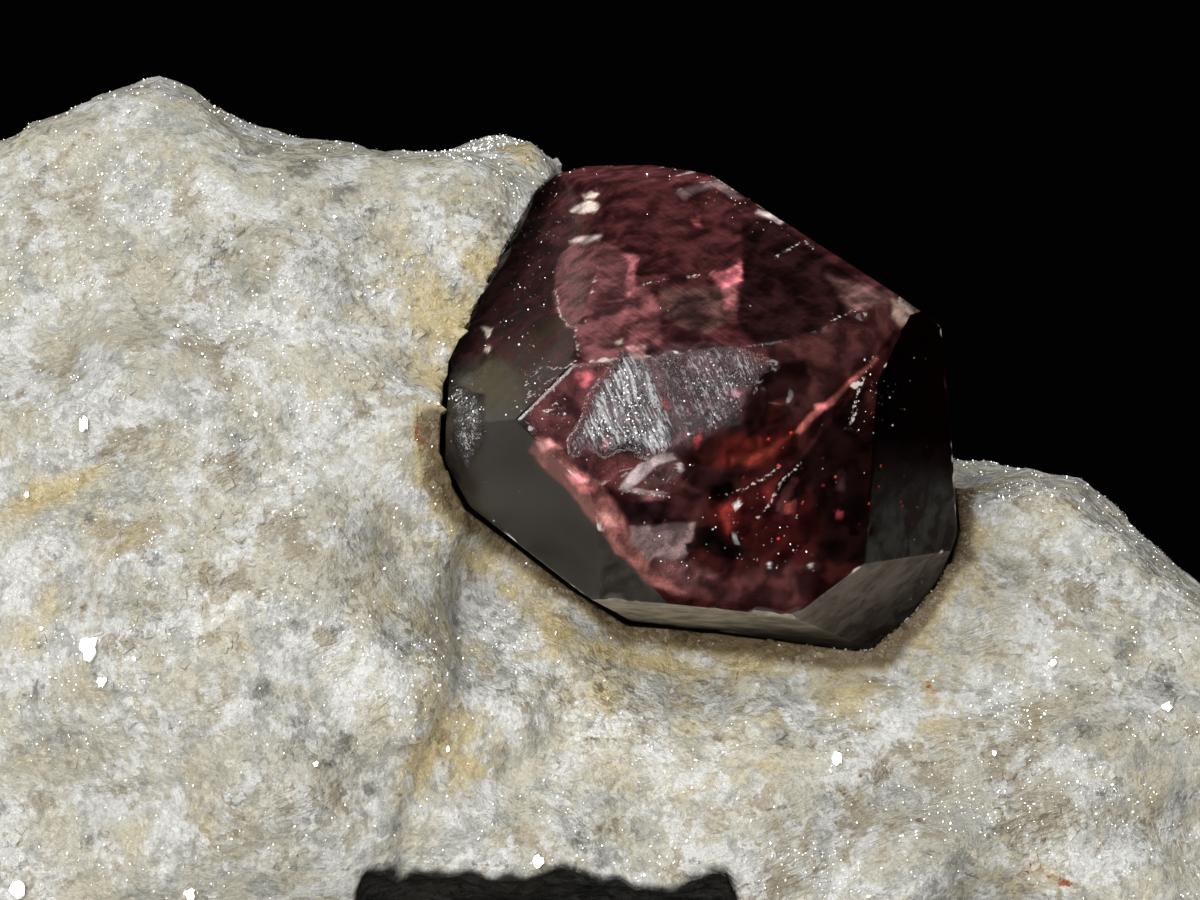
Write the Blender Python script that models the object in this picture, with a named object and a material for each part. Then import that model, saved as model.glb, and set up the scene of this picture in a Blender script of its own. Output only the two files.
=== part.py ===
"""Garnet in matrix: one red garnet crystal, about 10 mm across, seated in a block of white rock.

Metres, +Z up, +X to the right of the front view, which looks along +Y. The rock rests on its
flat base, and the origin is the centre of that base. Sizes below are in millimetres and are
turned into metres where each mesh is made.
"""

import math

import bmesh
import bpy
import numpy as np

MM = 0.001

# The garnet: where its centre is, and how wide the dark seam round it in the rock is.
CRYSTAL_CENTRE = (1.95, -3.5, 10.15)
SEAM = 0.12

# The crystal's faces: name, turn of the face from the front towards +X, lift above the
# horizontal, both in degrees, and distance from the crystal's centre. The first twelve are the
# broad growth faces that show in front, then the narrow ones of its rim, then its back.
CRYSTAL_FACES = (
    ("band", 17, 15, 4.65),
    ("centre", -3, 28, 4.25),
    ("lower_front", 21, -15, 4.40),
    ("lower_left", 2, -30, 5.30),
    ("upper", -12, 62, 3.10),
    ("right", 57, -11, 4.65),
    ("upper_left", -61, 49, 3.55),
    ("lower_right", 56, -45, 5.00),
    ("underside", -13, -76, 4.40),
    ("left", -48, -22, 5.25),
    ("top", -57, 80, 4.15),
    ("corner", 51, 37, 5.30),
    ("rim_top", 174, 84, 4.70),
    ("rim_top_right", 115, 76, 4.40),
    ("rim_slope", 98, 55, 3.80),
    ("rim_right_top", 91, 7, 4.75),
    ("rim_right", 90, 4, 4.85),
    ("rim_right_low", 88, -18, 5.60),
    ("rim_low_right", 85, -37, 5.90),
    ("rim_bottom", -54, -80, 4.45),
    ("rim_low_left", -82, -52, 4.35),
    ("rim_bottom_left", -81, -57, 4.35),
    ("rim_left_low", -87, -28, 4.90),
    ("rim_left", -90, 2, 4.90),
    ("rim_left_high", -93, 24, 4.75),
    ("rim_left_top", -93, 28, 4.80),
    ("back", 174, 3, 4.90),
    ("back_right", 133, 11, 5.30),
    ("back_left", -139, 20, 5.90),
    ("back_low_left", -131, -34, 5.10),
    ("back_low_right", 134, -38, 5.90),
    ("back_top", 168, 42, 5.90),
    ("back_low", -169, -59, 5.30),
)

# The rock's outline as seen from the front, (x, z), anticlockwise from its right foot: the low
# ledge right of the garnet, the notch behind the garnet, the tall block on the left, the base.
ROCK_OUTLINE = (
    (16.2, -1.6), (16.4, 1.2), (15.7, 3.0), (14.2, 4.4), (12.9, 5.2), (12.0, 5.8), (11.3, 6.4),
    (10.9, 6.7), (10.3, 7.2), (9.9, 7.6), (9.6, 8.0), (8.8, 8.1), (8.6, 8.3), (8.1, 8.2),
    (7.2, 8.0), (5.4, 8.7), (3.8, 9.2), (2.2, 9.6), (0.9, 10.6), (0.2, 12.0), (-0.6, 13.6),
    (-1.0, 14.5), (-1.4, 14.9), (-2.1, 14.8), (-2.8, 14.6), (-3.6, 14.5), (-4.3, 14.5),
    (-5.2, 14.8), (-6.3, 14.8), (-7.3, 15.1), (-7.9, 15.5), (-8.2, 15.9), (-8.8, 16.2),
    (-9.4, 15.9), (-10.5, 15.4), (-11.2, 15.3), (-11.4, 14.9), (-12.6, 14.8), (-14.0, 13.9),
    (-15.6, 12.0), (-16.6, 9.4), (-17.1, 6.4), (-16.9, 3.2), (-16.3, 0.8), (-16.0, -1.6),
)
HEART = (-1.6, 5.2)  # (x, z) from which every point of the outline is in plain sight
HEART_RADIUS = 5.5  # the rings of the grid start as circles and end as the outline, mm

# How far the rock's front stands towards the viewer, and its back away, at (x, z).
FRONT_RELIEF = (
    (-16.0, 8.0, 5.8), (-14.5, 12.0, 4.8), (-14.5, 3.0, 7.2), (-12.0, 8.0, 7.0),
    (-12.0, 13.5, 4.6), (-9.0, 4.5, 8.4), (-9.0, 9.5, 7.4), (-9.0, 14.5, 4.4),
    (-6.0, 12.0, 6.2), (-6.0, 7.0, 8.2), (-6.0, 3.0, 8.8), (-4.0, 14.0, 4.2),
    (-4.6, 10.0, 6.2), (-3.7, 7.8, 6.6), (-3.3, 12.3, 4.4), (-4.4, 5.0, 8.0),
    (-1.0, 13.5, 2.8), (0.0, 10.0, 2.6), (3.0, 8.5, 2.6), (6.0, 8.0, 2.4), (2.0, 6.5, 3.2),
    (-2.0, 6.8, 4.4), (1.0, 5.0, 4.6), (4.0, 4.6, 4.6), (6.2, 5.4, 4.0),
    (-2.4, 4.2, 7.2), (1.0, 3.3, 7.7), (4.0, 3.1, 7.7), (6.5, 3.6, 6.9),
    (-3.0, 1.8, 8.6), (0.0, 1.4, 8.7), (3.0, 1.2, 8.7), (6.0, 1.0, 8.7), (10.0, 0.8, 8.5),
    (8.0, 7.4, 2.8), (9.6, 6.4, 4.0), (8.2, 5.0, 5.6), (11.2, 5.0, 5.0), (9.5, 3.0, 7.2),
    (12.4, 3.0, 6.6), (14.4, 2.0, 5.6), (13.4, 4.4, 4.2), (-12.0, 0.0, 7.8), (-6.0, 0.0, 8.4),
)
BACK_RELIEF = (
    (-15.0, 8.0, 5.4), (-12.0, 13.0, 6.2), (-8.0, 12.5, 7.6), (-9.0, 5.0, 9.6),
    (-4.0, 9.0, 8.6), (-3.0, 13.5, 6.4), (0.0, 8.0, 7.6), (0.0, 3.0, 9.8), (5.0, 6.5, 7.2),
    (7.0, 2.5, 9.2), (10.0, 6.0, 5.6), (13.5, 3.0, 5.6), (-14.0, 1.0, 7.0),
)
RELIEF_REACH = 1.4  # how far round itself each relief point holds, mm
WORN_LENGTH = 1.6  # the outline's steps this long fade away from the rim, mm
WORN_DEPTH = 0.5  # the share of the way from the rim to a pole over which they fade
RIM_SQUARENESS = 0.44  # 1 would give an egg, 0 a box

# The tall block's step down to the bench: its line, x at each z, and its height.
STEP_LINE_Z = (0.0, 1.5, 4.0, 6.0, 7.4, 9.0)
STEP_LINE_X = (-4.4, -4.0, -3.5, -3.1, -2.7, -2.6)
STEP_HEIGHT = 0.9
STEP_WIDTH = 0.5
STEP_TOP = 9.0
STEP_FADE = 3.0

# Thin ledges on the lower right: line from (x, z) to (x, z), and how far each stands out.
LEDGES = (
    (2.8, 0.3, 7.2, 2.1, 0.45),
    (4.2, 1.9, 10.0, 3.2, 0.50),
    (6.6, 3.8, 13.0, 4.6, 0.55),
    (8.6, 5.6, 12.6, 5.4, 0.40),
)
LEDGE_WIDTH = 0.5  # the run over which a ledge rises to its height, mm
LEDGE_REACH = 5.0  # how many widths below its line a ledge has died out
LEDGE_FADE = 2.5
LEDGE_TAPER = 0.2  # the share of a ledge's length over which each end dies out

# Hollows in the front face: centre (x, z), radius and depth.
HOLLOWS = (
    (-7.0, 11.8, 1.7, 0.7),
    (-10.8, 11.2, 1.1, 0.5),
    (-3.0, 6.0, 1.0, 0.9),
    (-10.2, 3.4, 1.6, 0.5),
    (0.6, 2.2, 1.2, 0.4),
    (11.2, 1.6, 1.3, 0.5),
)

# Rough swell of the broken rock: wavelength and height of each size of lump.
LUMPS = ((3.6, 0.40), (1.7, 0.22), (0.8, 0.09))
LUMP_SEED = 7
LUMP_SEED_STEP = 10
LUMP_AT_RIM = 0.3  # the share of a lump's height that moves the outline itself

# The low arch under the front edge: from x to x, its height, and how far back it runs.
ARCH_FROM = -5.2
ARCH_TO = 2.8
ARCH_HEIGHT = 1.25
ARCH_BACK = -2.0
FRONT_EDGE = -9.5
ARCH_TAPER = 0.25  # the share of the arch's width over which each side comes down
ARCH_EASE = 0.15
BELOW_BASE = -1.2  # the rock is shaped this far below its base, and then cut flat

STEPS_ROUND = 300
STEPS_FRONT_TO_BACK = 150
FRONT_SHARE = 1.12  # over 1 packs more of the grid into the front
ROCK_TRIANGLES = 8200
GROUND_SIZE = (48.0, 48.0, 12.0)
BLOCK_SIDE = 40.0  # the block that the crystal is cut from
MERGE_WITHIN = 0.01

BASE_CENTRE = (-0.32, -0.08)  # (x, y) of the middle of the whole specimen's box


def add_material(name, colour, roughness, transmission=0.0):
    """A plain Principled material."""
    material = bpy.data.materials.new(name)
    material.use_nodes = True
    shader = material.node_tree.nodes["Principled BSDF"]
    shader.inputs["Base Color"].default_value = (*colour, 1.0)
    shader.inputs["Roughness"].default_value = roughness
    shader.inputs["Transmission Weight"].default_value = transmission
    return material


def add_object(name, mesh, material):
    mesh.materials.append(material)
    thing = bpy.data.objects.new(name, mesh)
    bpy.context.scene.collection.objects.link(thing)
    return thing


def smooth_step(value):
    """0 below 0, 1 above 1, and an S-shaped rise between."""
    inside = np.clip(value, 0.0, 1.0)
    return inside * inside * (3.0 - 2.0 * inside)


def lattice_value(corner, seed):
    """A repeatable number from -1 to 1 for each whole-number corner, by integer mixing."""
    i, j, k = (corner[..., axis].astype(np.uint32) for axis in range(3))
    mixed = i * np.uint32(374761393) + j * np.uint32(668265263) + k * np.uint32(2147483647)
    mixed = mixed + np.uint32(seed) * np.uint32(144665)
    mixed = (mixed ^ (mixed >> np.uint32(13))) * np.uint32(1274126177)
    mixed = mixed ^ (mixed >> np.uint32(16))
    return mixed.astype(np.float64) / 2147483647.5 - 1.0


def noise(points, wavelength, seed):
    """Value noise: lattice values a wavelength apart, blended with an S-curve between them."""
    place = points / wavelength
    corner = np.floor(place).astype(np.int64)
    part = smooth_step(place - corner)
    total = 0.0
    for step in np.ndindex(2, 2, 2):
        offset = np.array(step)
        weight = np.prod(np.where(offset, part, 1.0 - part), axis=-1)
        total = total + weight * lattice_value(corner + offset, seed)
    return total


def relief(x, z, points):
    """The depth at (x, z): each relief point's depth, weighted by 1 / (distance^2 + reach^2)^2."""
    table = np.array(points)
    gap = (x[..., None] - table[:, 0]) ** 2 + (z[..., None] - table[:, 1]) ** 2
    weight = 1.0 / (gap + RELIEF_REACH**2) ** 2
    return (weight * table[:, 2]).sum(-1) / weight.sum(-1)


def front_depth(x, z):
    """The front's relief with the step, the ledges and the hollows."""
    depth = relief(x, z, FRONT_RELIEF)
    line = np.interp(z, STEP_LINE_Z, STEP_LINE_X)
    fade = smooth_step((STEP_TOP - z) / STEP_FADE)
    depth += STEP_HEIGHT * smooth_step((line - x) / STEP_WIDTH + 0.5) * fade
    for x0, z0, x1, z1, height in LEDGES:
        along = (x - x0) / (x1 - x0)
        below = (z0 + along * (z1 - z0) - z) / LEDGE_WIDTH
        ends = smooth_step(along / LEDGE_TAPER) * smooth_step((1.0 - along) / LEDGE_TAPER)
        lower = smooth_step((LEDGE_REACH - below) / LEDGE_FADE)
        depth += height * ends * smooth_step(below + 0.5) * lower
    for hollow_x, hollow_z, radius, drop in HOLLOWS:
        away = np.hypot(x - hollow_x, z - hollow_z) / radius
        depth -= drop * (1.0 - smooth_step(away))
    return depth


def rock_profile(steps):
    """(spread, depth) from the front pole round to the back one, evenly along a squared oval."""
    angle = np.linspace(0.0, math.pi, 4001)
    spread = np.sin(angle) ** RIM_SQUARENESS
    depth = np.sign(np.cos(angle)) * np.abs(np.cos(angle)) ** RIM_SQUARENESS
    length = np.concatenate([[0.0], np.cumsum(np.hypot(np.diff(spread), np.diff(depth)))])
    wanted = length[-1] * (np.arange(1, steps) / steps) ** FRONT_SHARE
    return np.interp(wanted, length, spread), np.interp(wanted, length, depth)


def outline_points(steps):
    """The outline as points (x, z) at even spacing, and the same with its small steps worn away."""
    corners = np.array(ROCK_OUTLINE + ROCK_OUTLINE[:1])
    length = np.concatenate([[0.0], np.cumsum(np.hypot(*np.diff(corners, axis=0).T))])
    wanted = np.linspace(0.0, length[-1], steps, endpoint=False)
    crisp = np.stack([np.interp(wanted, length, corners[:, axis]) for axis in (0, 1)], axis=-1)
    spread = round(WORN_LENGTH / length[-1] * steps)
    worn = sum(np.roll(crisp, shift, axis=0) for shift in range(-spread, spread + 1))
    return crisp, worn / (2 * spread + 1)


def rock_surface(steps_round, steps_through):
    """Rows of (x, y, z): rings that pass from a circle s R round the heart to the outline, as
    s ((1 - s^2) circle + s^2 outline), with the relief times the profile's depth as their depth."""
    crisp, worn = outline_points(steps_round)
    spread, depth = rock_profile(steps_through)
    spread = np.concatenate([[0.0], spread, [0.0]])[:, None]
    depth = np.concatenate([[1.0], depth, [-1.0]])[:, None]
    wear = smooth_step(np.abs(depth) / WORN_DEPTH)[..., None]
    reach = crisp * (1.0 - wear) + worn * wear - np.array(HEART)
    reach_x, reach_z = reach[..., 0], reach[..., 1]
    circle = HEART_RADIUS / np.hypot(reach_x, reach_z)
    scale = spread * ((1.0 - spread**2) * circle + spread**2)
    x = HEART[0] + scale * reach_x
    z = HEART[1] + scale * reach_z
    y = np.where(depth > 0.0, -front_depth(x, z), -relief(x, z, BACK_RELIEF)) * depth
    points = np.stack([x, y, z], axis=-1)
    sideways = LUMP_AT_RIM + (1.0 - LUMP_AT_RIM) * wear[..., 0]
    for index, (wavelength, height) in enumerate(LUMPS):
        seeds = (LUMP_SEED + LUMP_SEED_STEP * index + axis for axis in range(3))
        swell = np.stack([noise(points, wavelength, seed) for seed in seeds], axis=-1)
        swell[..., 0] *= sideways
        swell[..., 2] *= sideways
        points = points + height * swell
    points[0] = points[0].mean(axis=0)
    points[-1] = points[-1].mean(axis=0)
    return raise_arch(points)


def raise_arch(points):
    """Lifts what lies below the arch's roof to it: z = roof + w ln(1 + e^((z - roof) / w))."""
    x, y, z = np.moveaxis(points, -1, 0)
    along = (x - ARCH_FROM) / (ARCH_TO - ARCH_FROM)
    across = smooth_step(along / ARCH_TAPER) * smooth_step((1.0 - along) / ARCH_TAPER)
    inward = 1.0 - smooth_step((y - FRONT_EDGE) / (ARCH_BACK - FRONT_EDGE))
    roof = BELOW_BASE + (ARCH_HEIGHT - BELOW_BASE) * across * inward
    lifted = roof + ARCH_EASE * np.logaddexp(0.0, (z - roof) / ARCH_EASE)
    return np.stack([x - BASE_CENTRE[0], y - BASE_CENTRE[1], lifted], axis=-1)


def make_rock(material):
    """The matrix: a closed skin over the grid of rows, thinned to flats and edges that matter."""
    rows = rock_surface(STEPS_ROUND, STEPS_FRONT_TO_BACK)
    body = bmesh.new()
    front = body.verts.new(rows[0, 0] * MM)
    rings = [[body.verts.new(point * MM) for point in row] for row in rows[1:-1]]
    back = body.verts.new(rows[-1, 0] * MM)
    for i in range(STEPS_ROUND):
        following = (i + 1) % STEPS_ROUND
        body.faces.new((front, rings[0][i], rings[0][following]))
        for ring, next_ring in zip(rings, rings[1:]):
            body.faces.new((ring[i], next_ring[i], next_ring[following], ring[following]))
        body.faces.new((back, rings[-1][following], rings[-1][i]))
    bmesh.ops.triangulate(body, faces=body.faces[:])
    bmesh.ops.recalc_face_normals(body, faces=body.faces[:])
    grid_faces = len(body.faces)
    mesh = bpy.data.meshes.new("matrix")
    body.to_mesh(mesh)
    body.free()
    rock = add_object("matrix", mesh, material)
    thin = rock.modifiers.new("thin", "DECIMATE")
    thin.decimate_type = "COLLAPSE"
    thin.ratio = ROCK_TRIANGLES / grid_faces
    return rock


def make_ground_cutter(material):
    """A block with its top at the base's height."""
    body = bmesh.new()
    bmesh.ops.create_cube(body, size=MM)
    bmesh.ops.scale(body, vec=GROUND_SIZE, verts=body.verts[:])
    bmesh.ops.translate(body, vec=(0.0, 0.0, -GROUND_SIZE[2] * MM / 2.0), verts=body.verts[:])
    mesh = bpy.data.meshes.new("ground cutter")
    body.to_mesh(mesh)
    body.free()
    return add_object("ground cutter", mesh, material)


def make_crystal(name, material, grow=0.0):
    """A block cut down by one plane for each crystal face, each moved out by grow."""
    body = bmesh.new()
    bmesh.ops.create_cube(body, size=BLOCK_SIDE)
    for _, turn, lift, distance in CRYSTAL_FACES:
        turn, lift = math.radians(turn), math.radians(lift)
        flat = math.cos(lift)
        normal = np.array([math.sin(turn) * flat, -math.cos(turn) * flat, math.sin(lift)])
        cut = bmesh.ops.bisect_plane(
            body,
            geom=body.verts[:] + body.edges[:] + body.faces[:],
            plane_co=normal * (distance + grow),
            plane_no=normal,
            clear_outer=True,
        )
        rim = [part for part in cut["geom_cut"] if isinstance(part, bmesh.types.BMEdge)]
        if rim:
            bmesh.ops.edgeloop_fill(body, edges=rim)
    bmesh.ops.remove_doubles(body, verts=body.verts[:], dist=MERGE_WITHIN)
    bmesh.ops.recalc_face_normals(body, faces=body.faces[:])
    bmesh.ops.scale(body, vec=(MM, MM, MM), verts=body.verts[:])
    x, y, z = CRYSTAL_CENTRE
    place = ((x - BASE_CENTRE[0]) * MM, (y - BASE_CENTRE[1]) * MM, z * MM)
    bmesh.ops.translate(body, vec=place, verts=body.verts[:])
    mesh = bpy.data.meshes.new(name)
    body.to_mesh(mesh)
    body.free()
    return add_object(name, mesh, material)


def cut_away(rock, cutter):
    """Cuts the cutter's shape out of the rock."""
    cutter.hide_render = True
    cutter.display_type = "WIRE"
    cut = rock.modifiers.new(cutter.name, "BOOLEAN")
    cut.operation = "DIFFERENCE"
    cut.solver = "EXACT"
    cut.object = cutter


def main():
    for thing in list(bpy.data.objects):
        bpy.data.objects.remove(thing, do_unlink=True)
    rock_white = add_material("matrix rock", (0.78, 0.74, 0.66), 0.75)
    garnet_red = add_material("garnet", (0.22, 0.02, 0.03), 0.12, 0.6)
    rock = make_rock(rock_white)
    cut_away(rock, make_ground_cutter(rock_white))
    cut_away(rock, make_crystal("seat cutter", rock_white, grow=SEAM))
    make_crystal("garnet", garnet_red)


main()
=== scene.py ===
import math

import bmesh
import bpy
import numpy as np
from bpy.props import FloatProperty, FloatVectorProperty, IntProperty, PointerProperty
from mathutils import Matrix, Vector
from mathutils.bvhtree import BVHTree


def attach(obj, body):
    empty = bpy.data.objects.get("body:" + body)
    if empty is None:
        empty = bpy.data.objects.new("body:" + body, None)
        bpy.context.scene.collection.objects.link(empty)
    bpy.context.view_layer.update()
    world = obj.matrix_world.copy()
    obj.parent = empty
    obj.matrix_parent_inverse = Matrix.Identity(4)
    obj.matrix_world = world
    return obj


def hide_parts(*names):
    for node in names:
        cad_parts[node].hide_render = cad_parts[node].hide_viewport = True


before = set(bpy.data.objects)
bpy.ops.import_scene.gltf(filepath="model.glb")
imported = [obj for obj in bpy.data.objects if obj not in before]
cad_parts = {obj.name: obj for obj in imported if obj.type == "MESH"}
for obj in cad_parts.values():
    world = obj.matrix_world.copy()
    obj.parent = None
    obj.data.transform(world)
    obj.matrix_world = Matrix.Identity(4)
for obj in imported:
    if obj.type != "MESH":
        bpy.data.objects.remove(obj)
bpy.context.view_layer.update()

bl_info = {
    "name": "Garnet in Matrix",
    "version": (1, 0, 0),
    "blender": (4, 5, 0),
    "location": "View3D > Sidebar > Mineral",
    "description": "A red garnet crystal seated in a block of white granular rock",
    "category": "Object",
}

MM = 0.001
TINY = 1e-12  # keeps a division from being by zero
SMALLEST = 1e-6
ON_FACE = 1e-4

# ---------------------------------------------------------------- the rock's main form, in mm

BASE_CENTRE = np.array((-0.32, -0.08, 0.0))
ROCK_OUTLINE = (
    (16.2, -1.6), (16.4, 1.2), (15.7, 3.0), (14.2, 4.4), (12.9, 5.2), (12.0, 5.8), (11.3, 6.4),
    (10.9, 6.7), (10.3, 7.2), (9.9, 7.6), (9.6, 8.0), (8.8, 8.1), (8.6, 8.3), (8.1, 8.2),
    (7.2, 8.0), (5.4, 8.7), (3.8, 9.2), (2.2, 9.6), (0.9, 10.6), (0.2, 12.0), (-0.6, 13.6),
    (-1.0, 14.5), (-1.4, 14.9), (-2.1, 14.8), (-2.8, 14.6), (-3.6, 14.5), (-4.3, 14.5),
    (-5.2, 14.8), (-6.3, 14.8), (-7.3, 15.1), (-7.9, 15.5), (-8.2, 15.9), (-8.8, 16.2),
    (-9.4, 15.9), (-10.5, 15.4), (-11.2, 15.3), (-11.4, 14.9), (-12.6, 14.8), (-14.0, 13.9),
    (-15.6, 12.0), (-16.6, 9.4), (-17.1, 6.4), (-16.9, 3.2), (-16.3, 0.8), (-16.0, -1.6),
)
HEART = (-1.6, 5.2)
HEART_RADIUS = 5.5
# How far the front and the back stand from the middle plane: (x, z, depth)
FRONT_RELIEF = (
    (-16.0, 8.0, 5.8), (-14.5, 12.0, 4.8), (-14.5, 3.0, 7.2), (-12.0, 8.0, 7.0),
    (-12.0, 13.5, 4.6), (-9.0, 4.5, 8.4), (-9.0, 9.5, 7.4), (-9.0, 14.5, 4.4),
    (-6.0, 12.0, 6.2), (-6.0, 7.0, 8.2), (-6.0, 3.0, 8.8), (-4.0, 14.0, 4.2),
    (-4.6, 10.0, 6.2), (-3.7, 7.8, 6.6), (-3.3, 12.3, 4.4), (-4.4, 5.0, 8.0),
    (-1.0, 13.5, 2.8), (0.0, 10.0, 2.6), (3.0, 8.5, 2.6), (6.0, 8.0, 2.4), (2.0, 6.5, 3.2),
    (-2.0, 6.8, 4.4), (1.0, 5.0, 4.6), (4.0, 4.6, 4.6), (6.2, 5.4, 4.0),
    (-2.4, 4.2, 7.2), (1.0, 3.3, 7.7), (4.0, 3.1, 7.7), (6.5, 3.6, 6.9),
    (-3.0, 1.8, 8.6), (0.0, 1.4, 8.7), (3.0, 1.2, 8.7), (6.0, 1.0, 8.7), (10.0, 0.8, 8.5),
    (8.0, 7.4, 2.8), (9.6, 6.4, 4.0), (8.2, 5.0, 5.6), (11.2, 5.0, 5.0), (9.5, 3.0, 7.2),
    (12.4, 3.0, 6.6), (14.4, 2.0, 5.6), (13.4, 4.4, 4.2), (-12.0, 0.0, 7.8), (-6.0, 0.0, 8.4),
)
BACK_RELIEF = (
    (-15.0, 8.0, 5.4), (-12.0, 13.0, 6.2), (-8.0, 12.5, 7.6), (-9.0, 5.0, 9.6),
    (-4.0, 9.0, 8.6), (-3.0, 13.5, 6.4), (0.0, 8.0, 7.6), (0.0, 3.0, 9.8), (5.0, 6.5, 7.2),
    (7.0, 2.5, 9.2), (10.0, 6.0, 5.6), (13.5, 3.0, 5.6), (-14.0, 1.0, 7.0),
)
RELIEF_REACH = 1.4
WORN_LENGTH = 1.6
WORN_DEPTH = 0.5
RIM_SQUARENESS = 0.44

STEP_LINE_Z = (0.0, 1.5, 4.0, 6.0, 7.4, 9.0)
STEP_LINE_X = (-4.4, -4.0, -3.5, -3.1, -2.7, -2.6)
STEP_HEIGHT = 0.32
STEP_WIDTH = 0.35
STEP_TOP = 9.0
STEP_FADE = 3.0

# Ledges of the front: the line (x, z) to (x, z) of their upper edge, and height
LEDGES = (
    (2.8, 0.3, 7.2, 2.1, 0.45),
    (4.2, 1.9, 10.0, 3.2, 0.50),
    (6.6, 3.8, 13.0, 4.6, 0.55),
    (8.6, 5.6, 12.6, 5.4, 0.40),
)
LEDGE_WIDTH = 0.5
LEDGE_REACH = 5.0
LEDGE_FADE = 2.5
LEDGE_TAPER = 0.2

# Hollows of the front: middle (x, z), radius, depth
HOLLOWS = (
    (-7.0, 11.8, 1.7, 0.7),
    (-10.8, 11.2, 1.1, 0.5),
    (-3.0, 6.0, 1.0, 0.4),
    (-10.2, 3.4, 1.6, 0.5),
    (0.6, 2.2, 1.2, 0.4),
    (11.2, 1.6, 1.3, 0.5),
)

# Swellings of the whole form: wavelength, height
LUMPS = ((3.6, 0.40), (1.7, 0.22), (0.8, 0.09))
LUMP_SEED = 7
LUMP_SEED_STEP = 10
LUMP_AT_RIM = 0.3

ARCH_FROM = -5.2
ARCH_TO = 3.15
ARCH_HEIGHT = 1.72
ARCH_BACK = -2.0
FRONT_EDGE = -9.5
ARCH_TAPER = 0.09
ARCH_EASE = 0.08
ARCH_RAGGED = ((0.9, 0.26), (0.35, 0.14))  # wavelength, height
ARCH_SEED = 33
BELOW_BASE = -1.2

STEPS_ROUND = 520
STEPS_FRONT_TO_BACK = 186
FRONT_SHARE = 1.35
PROFILE_SAMPLES = 4001

# Crystals of the broken rock: their size, how much they lean, how domed they are, how high
GRAINS = ((2.3, 0.7, 0.28, 0.18), (1.0, 0.75, 0.45, 0.16), (0.45, 0.7, 0.6, 0.11))
GRAIN_SEED = 51
GRAIN_SEED_STEP = 7
GRAIN_SINK = 0.12
CENTRE_STRAY = 0.45
GROUND_SIZE = (48.0, 48.0, 12.0)

# ---------------------------------------------------------------- the garnet, in mm

CRYSTAL_CENTRE = np.array((1.95, -3.5, 10.15))
SEAM = 0.12
VIEW_SEAM = 0.03  # the rock ends this far from the crystal's outline, and nothing stands before it
VIEW_SWEEP = 0.05
# Faces: name, turn from the front towards +X and lift in degrees, distance from the centre
CRYSTAL_FACES = (
    ("band", 17, 15, 4.65), ("centre", -3, 28, 4.25), ("lower_front", 21, -15, 4.40),
    ("lower_left", 2, -30, 5.30), ("upper", -12, 62, 3.10), ("right", 57, -11, 4.65),
    ("upper_left", -61, 49, 3.55), ("lower_right", 56, -45, 5.00), ("underside", -13, -76, 4.40),
    ("left", -48, -22, 5.25), ("top", -57, 80, 4.15), ("corner", 51, 37, 5.30),
    ("rim_top", 174, 84, 4.70), ("rim_top_right", 115, 76, 4.40), ("rim_slope", 98, 55, 3.80),
    ("rim_right_top", 91, 7, 4.75), ("rim_right", 90, 4, 4.85), ("rim_right_low", 88, -18, 5.60),
    ("rim_low_right", 85, -37, 5.90), ("rim_bottom", -54, -80, 4.45), ("rim_low_left", -82, -52, 4.35),
    ("rim_bottom_left", -81, -57, 4.35), ("rim_left_low", -87, -28, 4.90), ("rim_left", -90, 2, 4.90),
    ("rim_left_high", -93, 24, 4.75), ("rim_left_top", -93, 28, 4.80), ("back", 174, 3, 4.90),
    ("back_right", 133, 11, 5.30), ("back_left", -139, 20, 5.90), ("back_low_left", -131, -34, 5.10),
    ("back_low_right", 134, -38, 5.90), ("back_top", 168, 42, 5.90), ("back_low", -169, -59, 5.30),
)
EDGE_STEP = 0.06
FRONT_FACES = 12  # the first faces of the list show in front, and have finer grids
FRONT_ROWS = 52
BACK_ROWS = 8
FEWEST_ROWS = 5
FULL_FACE = 3.0  # faces this large or larger have all their rows
EDGE_ROUND = 0.012
EDGE_ROUND_REACH = 0.07
NICK_DEPTH = 0.07
NICK_REACH = 0.16
NICK_WAVES = ((0.55, 1.0), (0.22, 0.6))  # wavelength, height
NICK_SEED = 401
NICK_FROM = 0.45
NICK_RISE = 0.5
CHIP_REACH = 0.10
FROSTED_FACES = {"left": 1.0, "lower_left": 0.8, "lower_right": 0.8, "underside": 0.9, "top": 0.4}
JOINED_WITHIN = 0.0001
RIGHT_SHADE = 0.9
RIGHT_SHADE_TOP = 0.9
RIGHT_SHADE_FADE = 1.5

# ---------------------------------------------------------------- the front view, in mm

# The front drawing is a sheet square to the camera's line of sight, through VIEW_TARGET. Places
# on it are (right, up) from there.
VIEW_TARGET = np.array((0.0, 0.0, 8.81))
VIEW_DISTANCE = 160.0
VIEW_ELEVATION = 6.0
VIEW_LENS = 240.0


# ---------------------------------------------------------------- shared formulas


def smooth_step(value):
    """0 below 0, 1 above 1, and an S-shaped rise between."""
    inside = np.clip(value, 0.0, 1.0)
    return inside * inside * (3.0 - 2.0 * inside)


def lattice_value(corner, seed):
    """A repeatable number from -1 to 1 for each whole-number corner, by integer mixing."""
    i, j, k = (corner[..., axis].astype(np.uint32) for axis in range(3))
    mixed = i * np.uint32(374761393) + j * np.uint32(668265263) + k * np.uint32(2147483647)
    mixed = mixed + np.uint32(seed) * np.uint32(144665)
    mixed = (mixed ^ (mixed >> np.uint32(13))) * np.uint32(1274126177)
    mixed = mixed ^ (mixed >> np.uint32(16))
    return mixed.astype(np.float64) / 2147483647.5 - 1.0


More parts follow.
